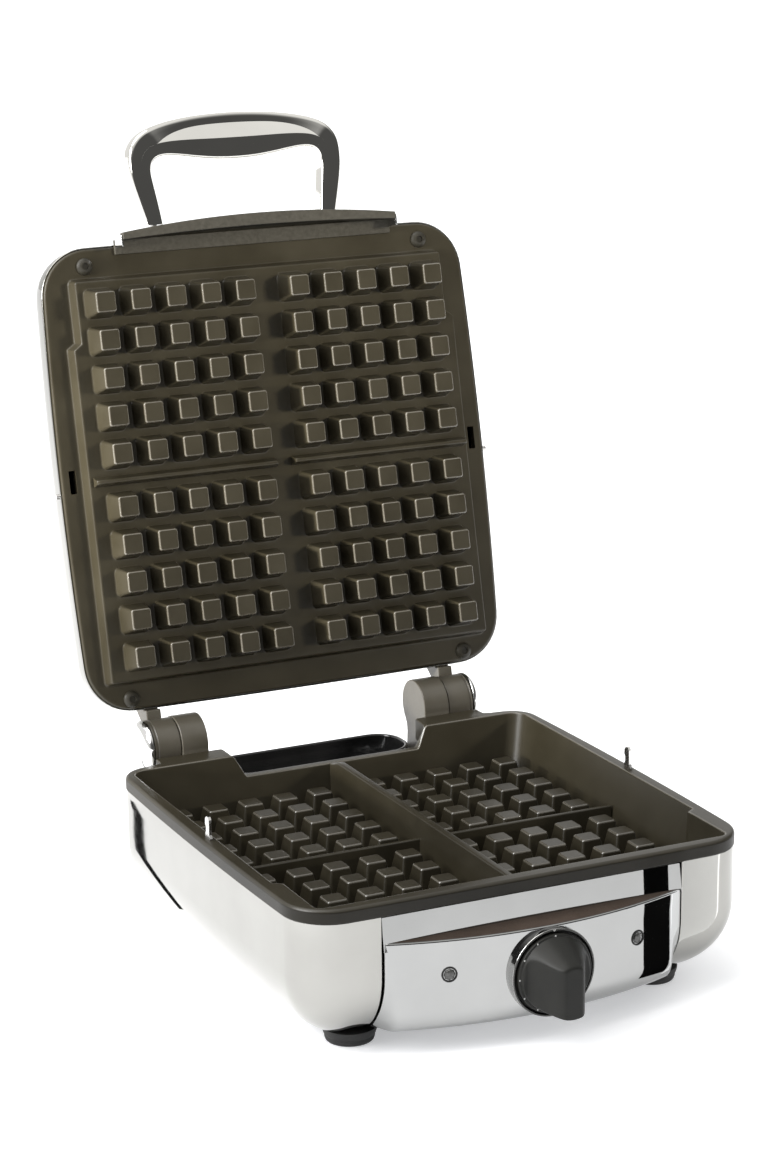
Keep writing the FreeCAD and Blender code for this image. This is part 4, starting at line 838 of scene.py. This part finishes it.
# ===========================================================================
# LID: upper plate
# ===========================================================================
FZ, PZ = 26.5, 18.5
kl = dict(nf=20, nc=10, nr=20, step=(7, -83.5, -80.0, 21))
hl = half_outline(140.5, -139.5, 138.5, 3.4, 29.0, 29.0, 1.0, **kl)
kp = dict(nf=20, nc=10, n1=7, n2=21, nr=20)
hp = half_jog(127.5, 122.5, -121.0, 122.0, 3.0, 3.0, -80.0, -83.5, **kp)
assert len(hl) == len(hp)
LO, PO = both(hl), both(hp)
sk = Skin()
rings = [at_z(inset(LO, 0.4), 32.0), at_z(LO, 31.6), at_z(LO, 28.0)]
for a in (22.5, 45, 67.5, 90):
    a = math.radians(a)
    rings.append(at_z(inset(LO, 1.5 * (1 - math.cos(a))), 28.0 - 1.5 * math.sin(a)))
rings += [at_z(inset(LO, 2.6), FZ), at_z(inset(PO, -2.4), FZ), at_z(inset(PO, -1.1), FZ), at_z(inset(PO, -0.45), FZ - 0.16), at_z(inset(PO, 0.0), FZ - 0.7), at_z(inset(PO, 0.18), FZ - 1.5), at_z(inset(PO, 1.45), PZ + 1.0),
          at_z(inset(PO, 1.72), PZ + 0.42), at_z(inset(PO, 2.15), PZ + 0.1), at_z(inset(PO, 2.9), PZ)]
idx = sk.loft(rings, True, True, False)
loop, zf = peg_field(sk, [(9.5, 3.4, 18.5), (8.95, 3.0, 18.32), (8.6, 2.7, 17.7), (8.35, 2.5, 16.7), (6.20, 1.4, 4.95), (6.07, 1.35, 4.50), (5.82, 1.25, 4.18), (5.47, 1.05, 4.03), (5.1, 0.9, 4.0)])
bridge(sk, idx[-1], sk.pts(at_z(loop, zf)))
hol = Skin()
for s in (-1, 1):
    o = round_poly([(s * 133.3 - 2.2, -8.6), (s * 133.3 + 2.2, -8.6), (s * 133.3 + 2.2, 5.4), (s * 133.3 - 2.2, 5.4)], 0.6, 3)
    hol.loft([at_z(o, 20.0), at_z(o, 40.0)], True, True, True)
make("upper_plate_casting", sk, on_lid, [COAT, EDGE_HIGHLIGHT], "lid", ["upper_plate"], sharp=38, holes=hol)

sk = Skin()
for s in (-1, 1):
    rings = []
    for x, k in ((5.4, 0.0), (5.75, 0.55), (6.6, 0.9), (8.0, 1.0), (30, 1.0), (60, 1.0), (90, 1.0), (119.5, 1.0), (121.5, 0.9), (122.7, 0.55), (123.2, 0.0)):
        zt = 19.0 - (19.0 - 11.5) * (0.86 + 0.14 * k)
        half = [(3.1, 19.2), (1.36, zt + 0.95), (1.2, zt + 0.45), (0.9, zt + 0.12), (0.45, zt)]
        prof = half + [(-a, b) for a, b in half[::-1]]
        rings.append([(s * x, a, b) for a, b in prof])
    sk.loft(rings, True, True, True)
make("upper_plate_ribs", sk, on_lid, [COAT], "lid", sharp=38)

sk = Skin()
for x, y in ((-111.0, -128.6), (111.0, -128.6), (-112.0, 131.5), (112.0, 131.5)):
    revolve(sk, [(5.15, 0.6), (5.15, -0.5), (4.95, -1.05), (4.3, -1.75), (3.2, -2.35), (2.35, -2.6), (2.1, -2.55), (1.9, -1.7), (0.0, -1.5)], (x, y, FZ), (0, 0, 1), 36)
make("plate_screw_heads", sk, on_lid, [SCREW], "lid", ["plate_screws"], sharp=45)

# lid shell
sk = Skin()
rings = []
ks = dict(nf=30, nc=12, ns=40, nr=30)
for z in (28.2, 30.0, 34.5):
    rings.append(at_z(both(half_outline(141.5, -140.5, 139.5, 3.4, 30.0, 30.0, 1.0, **ks)), z))
for i, d in roll_levels(28.0, 22.0, 10)[1:]:
    rings.append(at_z(both(half_outline(141.5 - i, -140.5 + i, 139.5 - i, 3.4, max(30.0 - 0.72 * i, 6), max(30.0 - 0.72 * i, 6), 1.0, **ks)), 34.5 + d))
i_last, z_last = roll_levels(28.0, 22.0, 10)[-1]
zc = 34.5 + z_last
base_l = both(half_outline(141.5 - i_last, -140.5 + i_last, 139.5 - i_last, 3.4, 14.2, 14.2, 1.0, **ks))
for f in (0.97, 0.9, 0.75, 0.5, 0.25):
    rings.append(at_z(base_l * f, zc + 0.12 * (1 - f)))
sk.loft(rings, True, False, True)
make("lid_dome", sk, on_lid, [STEEL], "lid", ["lid_shell"], solid=0.8, sharp=50)

# hinge arms
for s, side in ((-1, "left"), (1, "right")):
    sk = Skin()
    a, b = sorted((s * 89.9, s * 106.8))
    sgn = 1 if s > 0 else -1
    revolve(sk, [(5.06, 0.0), (14.9, 0.0), (15.45, 0.25), (15.7, 0.8), (15.7, 14.2), (15.35, 14.5), (15.2, 15.0), (15.35, 15.5), (15.7, 15.8), (15.7, 16.2), (15.5, 16.7), (15.0, 16.9), (5.06, 16.9), (5.06, 0.0)],
            (s * 89.9, HY, HZ), (sgn, 0, 0), 64)
    na, nb = sorted((s * 93.8, s * 103.2))
    neck = round_poly([(126, 32.2), (139.9, 32.2), (139.9, 27.6), (150.0, 27.6), (152.5, 23.0), (160.0, 24.0), (157.0, 34.0), (151.0, 35.0), (146.0, 40.5), (138.5, 47.3), (126, 45.4)],
                      [0.3, 0, 1.0, 3.0, 1, 1, 3, 3, 4, 2.0, 0.5], 4)
    slab_x(sk, neck, na, nb, 0.7)
    make("lid_arm_" + side, sk, on_lid, [CASTING], "lid", ["lid_hinge_arm_" + side], sharp=38)

# ---------------------------------------------------------------- lid front: bumper, bracket, handle
def bow(x, y_mid):
    return y_mid + x * x / 1400.0


sk = Skin()
xs = [-90.0, -89.7] + list(np.linspace(-88.5, 88.5, 47)) + [89.7, 90.0]
rings = []
for k, x in enumerate(xs):
    e = 0.35 if k in (0, len(xs) - 1) else 0.0
    yo, yi = bow(x, -151.95) + 0.3 * e, -144.6 + 2.7 * (x / 90.0) ** 2 - 0.3 * e
    r = min(0.7, (yi - yo) * 0.3)
    zt, zb = 11.0 + e, 13.35
    prof = [(yo, zb), (yo, zt + r), (yo + 0.29 * r, zt + 0.29 * r), (yo + r, zt), (yi - r, zt), (yi - 0.29 * r, zt + 0.29 * r), (yi, zt + r), (yi, zb)]
    rings.append([(x, a, b) for a, b in prof])
sk.loft(rings, True, True, True)
# the bar and the web behind the lip take material 1, the darker bumper shade: painted shade in the undercut
xs = list(np.linspace(-89.2, 89.2, 41))
rings = []
for x in xs:
    yo, yi = bow(x, -149.5), min(bow(x, -146.0), -142.6)
    rings.append([(x, a, b) for a, b in ((yo, 13.0), (yi, 13.0), (yi, 26.45), (yo, 26.45))])
sk.loft(rings, True, True, True, 1)
slab_z(sk, round_poly([(-91.0, -142.6), (-90.0, -143.2), (-60.0, -146.2), (60.0, -146.2), (90.0, -143.2), (91.0, -142.6), (91.0, -134.6), (-91.0, -134.6)], [0.3, 1, 3, 3, 1, 0.3, 0.3, 0.3], 4), 25.4, 26.45, 0.2, 1)
slab_z(sk, round_poly([(-91.3, -143.0), (91.3, -143.0), (91.3, -134.2), (-91.3, -134.2)], 0.6, 4), 24.35, 26.45, 0.45)
make("lid_front_bumper", sk, on_lid, [BUMPER, UNDERCUT_SHADE], "lid", ["lid_bumper"], sharp=38)

sk = Skin()
xs = sorted(set([round(v, 3) for v in list(np.linspace(-90.9, 90.9, 59)) + [s * c for s in (-1, 1) for c in (72.4, 72.8, 73.0, 73.6, 75.0, 76.4, 64.0, 66, 68, 70, 71.4)]]))


def brk_top(x):
    x = abs(x)
    if x <= 64:
        return 52.5
    if x <= 73.0:
        return 43.5 + 9.0 * math.sqrt(max(0.0, 1 - ((x - 64) / 9.0) ** 2))
    if x <= 76.4:
        return 30.5 + 3.4 * (1 - math.sqrt(max(0.0, 1 - ((76.4 - x) / 3.4) ** 2)))
    return 30.5


rings = []
for x in xs:
    zt = brk_top(x)
    yo, yi = bow(x, -152.0), bow(x, -149.62)
    zs = [13.9, 15.0, 22.0, 29.5] + [29.5 + (zt - 0.4 - 29.5) * f for f in (0.33, 0.66, 1.0)]
    front = [(yo, z) for z in zs]
    back = [(yi, z) for z in zs[::-1]]
    prof = [(yo + 0.4, 13.5)] + front + [(yo + 0.4, zt), (yi - 0.4, zt)] + back + [(yi - 0.4, 13.5)]
    rings.append([(x, a, b) for a, b in prof])
sk.loft(rings, True, True, True)
for s in (-1, 1):
    a, b = sorted((s * 90.02, s * 90.98))
    o = round_poly([(bow(90, -150.6), 12.0), (bow(90, -143.6), 12.0), (bow(90, -143.6), 24.2), (bow(90, -150.6), 24.2)], 0.5, 3)
    slab_x(sk, o, a, b, 0.2)
for z0, z1, yi in ((35.8, 37.6, -140.9), (49.6, 51.2, -137.0)):
    o = round_poly([(-62, yi), (-62, -150.2), (-31, -151.0), (0, -150.6), (31, -151.0), (62, -150.2), (62, yi)], 0.4, 3)
    slab_z(sk, o[::1], z0, z1, 0.3)
make("handle_mount_plate", sk, on_lid, [CHROME], "lid", ["handle_bracket"], sharp=38)

# loop handle, a cast bar with a rounded section
sec = [((-63.5, 151.2), (-52.7, 151.2)), ((-67.2, 166.0), (-54.2, 163.5)), ((-69.9, 180.0), (-56.2, 177.0)), ((-70.3, 190.0), (-56.6, 184.6)),
       ((-68.8, 198.2), (-55.0, 188.7)), ((-63.2, 205.6), (-51.8, 191.4)), ((-54.0, 210.4), (-46.0, 192.5)), ((-34.0, 214.8), (-31.0, 190.8)), ((-17.0, 216.4), (-15.6, 188.7)), ((0.0, 216.9), (0.0, 188.0))]
sec = sec + [((-o[0], o[1]), (-i[0], i[1])) for o, i in sec[-2::-1]]
oc, ic = cubic([o for o, _ in sec], 121), cubic([i for _, i in sec], 121)


def bar_section(a, b, lens):
    """Rounded section, a half wide and b half deep; a facet of width lens slopes back on the front."""
    k = min(1.0, a / 5.4)
    out = []
    for cx, cz, r, a0, n in ((-1, -1, 1.7 * k, 180, 5), (1, -1, 2.8 * k, 270, 5), (1, 1, 4.0 * k, 0, 6), (-1, 1, 3.2 * k, 90, 6)):
        for j in range(n + 1):
            t = math.radians(a0 + 90.0 * j / n)
            out.append((cx * (a - r) + r * math.cos(t), cz * (b - r) + r * math.sin(t)))
        if cx == -1 and cz == -1:
            x0, x1, p0, p1 = -(a - 1.7 * k), a - 2.8 * k, -0.10 * a, -0.10 * a + max(lens, 0.02)
            out += [(x, -b) for x in (x0 + 0.3 * (p0 - x0), x0 + 0.7 * (p0 - x0), p0 - 0.35, p0, p0 + 0.2 * (p1 - p0), p0 + 0.5 * (p1 - p0), p0 + 0.8 * (p1 - p0), p1, p1 + 0.2 * (x1 - p1), p1 + 0.6 * (x1 - p1))]
    q = np.array(out)
    lean = 0.46 * np.clip(q[:, 0] + 0.10 * a, 0.0, max(lens, 0.02))
    q[:, 1] += np.where(q[:, 1] < 0, lean * np.clip(-q[:, 1] / b, 0, 1), 0.0)
    return q


sk = Skin()
rings = []
for o, i in zip(oc, ic):
    c, d = 0.5 * (o + i), 0.5 * (o - i)
    ln = float(np.linalg.norm(d))
    q = bar_section(ln, 6.2, 0.66 * ln * max(0.0, 1.0 - ((c[0] - 3.0) / 54.0) ** 4) if c[1] > 180 else 0.0)
    rings.append([(c[0] + d[0] / ln * t, -(c[1] + d[1] / ln * t), 45.25 + z) for t, z in q])
sk.loft(rings, True, True, True)
make("loop_handle", sk, on_lid, [GRIP], "lid", ["handle"], sharp=22)

# ===========================================================================
# CAD nodes that stay: finishes
# ===========================================================================
KEEP = {
    "alignment_tabs": PARTS, "foot_screws": PARTS, "rear_cover": BLACK, "cord_gland": BLACK,
    "hinge_pin_left": PARTS, "hinge_pin_right": PARTS, "thermostat": BLACK, "thermostat_bracket": PARTS, "indicator_lamps": LAMP,
    "lower_element": PARTS, "lower_element_clips": PARTS, "lower_heat_shield": SHIELD, "lower_shield_screws": PARTS, "thermal_cutout": PARTS,
    "terminal_block": BLACK, "control_shaft": PARTS, "upper_element": PARTS, "upper_element_clips": PARTS, "upper_heat_shield": SHIELD,
    "handle_screws": PARTS, "lid_side_pegs": PARTS}
for n, m in KEEP.items():
    ob = NODES[n]
    ob.data.materials.clear()
    ob.data.materials.append(m)
for n, w in (("alignment_tabs", 0.00035), ("lid_side_pegs", 0.0004)):
    b = NODES[n].modifiers.new("edge", "BEVEL")
    b.width, b.segments, b.limit_method, b.angle_limit, b.harden_normals = w, 2, "ANGLE", math.radians(40), False

# ===========================================================================
# STAGE: floor, light, camera
# ===========================================================================
def stage_mat(name, colour, glow):
    m, nt, b = new_mat(name)
    nt.links.new(ramp(nt, tex(nt, 1.2, 2.0), [(0.3, [x * 0.99 for x in colour]), (0.7, colour)]), b.inputs["Base Color"])
    b.inputs["Roughness"].default_value = 0.9
    b.inputs["Specular IOR Level"].default_value = 0.0
    b.inputs["Emission Color"].default_value = (0.97, 0.98, 1.0, 1.0)
    b.inputs["Emission Strength"].default_value = glow
    return m


def sheet(name, corners, z, mat, glossy_only=False):
    me = bpy.data.meshes.new(name)
    me.from_pydata([(x, y, z) for x, y in corners], [], [tuple(range(len(corners)))])
    ob = bpy.data.objects.new(name, me)
    bpy.context.scene.collection.objects.link(ob)
    me.materials.append(mat)
    if glossy_only:
        ob.visible_camera = ob.visible_diffuse = ob.visible_shadow = ob.visible_transmission = ob.visible_volume_scatter = False
    return ob


sheet("floor", [(-14, -14), (14, -14), (14, 14), (-14, 14)], -0.0004, stage_mat("floor_white", (0.79, 0.795, 0.81), 0.43))
flag = surface("black_flag", (0.004, 0.004, 0.004), (0.007, 0.007, 0.007), 0.9, 1.0, 5.0, 20.0, spec=0.0)
sheet("flag_panel", [(0.2240, -0.2940), (0.2560, -0.2602), (0.1922, -0.2320), (0.1535, -0.2151), (0.1370, -0.2080), (0.1000, -0.1870), (0.0830, -0.2010), (0.1130, -0.2220), (0.1295, -0.2328), (0.1686, -0.2579)], 0.0006, flag, True)


def card(name, corners, mat):
    """Upright card that only shows in mirror-like surfaces."""
    ob = sheet(name, [(x, y) for x, y, _ in corners], 0.0, mat, True)
    for v, (_, _, z) in zip(ob.data.vertices, corners):
        v.co.z = z
    return ob


card("flag_strip", [(0.0966, -0.23696, 0.0605), (0.1126, -0.23696, 0.0595), (0.1168, -0.23696, 0.0860), (0.1005, -0.23696, 0.0870)], flag)
pale, bright = stage_mat("card_pale", (0.5, 0.5, 0.5), 1.45), stage_mat("card_bright", (0.6, 0.6, 0.6), 3.0)
wall_x = (0.0935, 0.140, 0.170, 0.205, 0.262)
wall_y = (-0.1835, -0.2062, -0.2197, -0.2351, -0.2592)
for k, m in enumerate((pale, pale, bright, pale)):
    card("card_right_%d" % k, [(wall_x[k], wall_y[k], 0.0), (wall_x[k + 1], wall_y[k + 1], 0.0), (wall_x[k + 1], wall_y[k + 1], 0.090), (wall_x[k], wall_y[k], 0.090)], m)
sheet("flag_left", [(-0.2090, 0.3020), (-0.1320, 0.0540), (-0.1390, 0.0500), (-0.2170, 0.2990)], 0.0006, flag, True)

world = bpy.data.worlds.new("studio")
bpy.context.scene.world = world
world.use_nodes = True
wt = world.node_tree
bg = wt.nodes["Background"]
bg.inputs["Color"].default_value = (1.0, 0.995, 0.98, 1.0)
wc = wt.nodes.new("ShaderNodeTexCoord")
ws = wt.nodes.new("ShaderNodeSeparateXYZ")
wt.links.new(wc.outputs["Generated"], ws.inputs["Vector"])


def wmap(out, a, b, lo, hi):
    n = wt.nodes.new("ShaderNodeMapRange")
    n.interpolation_type = "SMOOTHSTEP"
    for k, v in (("From Min", a), ("From Max", b), ("To Min", lo), ("To Max", hi)):
        n.inputs[k].default_value = v
    wt.links.new(out, n.inputs["Value"])
    return n.outputs["Result"]


wm = wt.nodes.new("ShaderNodeMath")
wm.operation = "MAXIMUM"
wd = wt.nodes.new("ShaderNodeVectorMath")
wd.operation = "DOT_PRODUCT"
wd.inputs[1].default_value = (-0.55, 1.0, 0.0)
wt.links.new(wc.outputs["Generated"], wd.inputs[0])
wt.links.new(wmap(wd.outputs["Value"], -0.35, 0.55, 0.085, 0.95), wm.inputs[0])
wt.links.new(wmap(ws.outputs["Z"], 0.34, 0.80, 0.085, 1.0), wm.inputs[1])
wt.links.new(wm.outputs["Value"], bg.inputs["Strength"])


def area(name, loc, target, size, power, colour=(1, 1, 1), size_y=None):
    l = bpy.data.lights.new(name, "AREA")
    l.energy, l.color = power, colour
    l.shape = "RECTANGLE"
    l.size, l.size_y = size, size_y or size
    o = bpy.data.objects.new(name, l)
    o.location = loc
    o.rotation_euler = (Vector(target) - Vector(loc)).to_track_quat("-Z", "Y").to_euler()
    bpy.context.scene.collection.objects.link(o)
    return o


area("key_left", (-1.45, -0.15, 1.05), (0, 0.05, 0.15), 1.0, 34.0, (1.0, 1.0, 1.0))
fill = bpy.data.lights.new("fill_right", "SPOT")
fill.energy, fill.color, fill.spot_size, fill.spot_blend, fill.shadow_soft_size = 580.0, (1.0, 0.97, 0.92), math.radians(15.5), 0.75, 0.25
fill_ob = bpy.data.objects.new("fill_right", fill)
fill_ob.location = (1.45, -1.45, 0.85)
fill_ob.rotation_euler = (Vector((0.05, 0.16, 0.350)) - fill_ob.location).to_track_quat("-Z", "Y").to_euler()
fill_ob.visible_glossy = False
bpy.context.scene.collection.objects.link(fill_ob)
edge = bpy.data.lights.new("edge_left", "SPOT")
edge.energy, edge.color, edge.spot_size, edge.spot_blend, edge.shadow_soft_size = 620.0, (1.0, 0.985, 0.95), math.radians(15.0), 0.6, 0.12
edge_ob = bpy.data.objects.new("edge_left", edge)
edge_ob.location = (-1.6, -0.02, 0.36)
edge_ob.rotation_euler = (Vector((0.0, 0.13, 0.27)) - edge_ob.location).to_track_quat("-Z", "Y").to_euler()
edge_ob.visible_glossy = False
bpy.context.scene.collection.objects.link(edge_ob)
sun = bpy.data.lights.new("top_soft", "SUN")
sun.energy, sun.angle, sun.color = 1.7, math.radians(50), (1.0, 0.985, 0.955)
so = bpy.data.objects.new("top_soft", sun)
so.rotation_euler = Vector((0.35, -0.10, -0.93)).to_track_quat("-Z", "Y").to_euler()
bpy.context.scene.collection.objects.link(so)

cam = bpy.data.cameras.new("camera")
cam.sensor_width, cam.lens = 36.0, 3033.525 * 36.0 / 1170.0
cam.clip_start, cam.clip_end = 0.05, 60.0
co = bpy.data.objects.new("camera", cam)
X = Vector((0.90026912, -0.43522905, -0.00954885))
Y = -Vector((-0.1211956, -0.2295045, -0.96573253))
Z = -Vector((0.41812335, 0.87057645, -0.25936366))
rot = Matrix((X, Y, Z)).transposed()
co.matrix_world = Matrix.Translation((-0.72633542, -1.51726493, 0.65758578)) @ rot.to_4x4()
bpy.context.scene.collection.objects.link(co)
bpy.context.scene.camera = co
bpy.context.scene.view_settings.view_transform = "Standard"
bpy.context.scene.view_settings.look = "None"
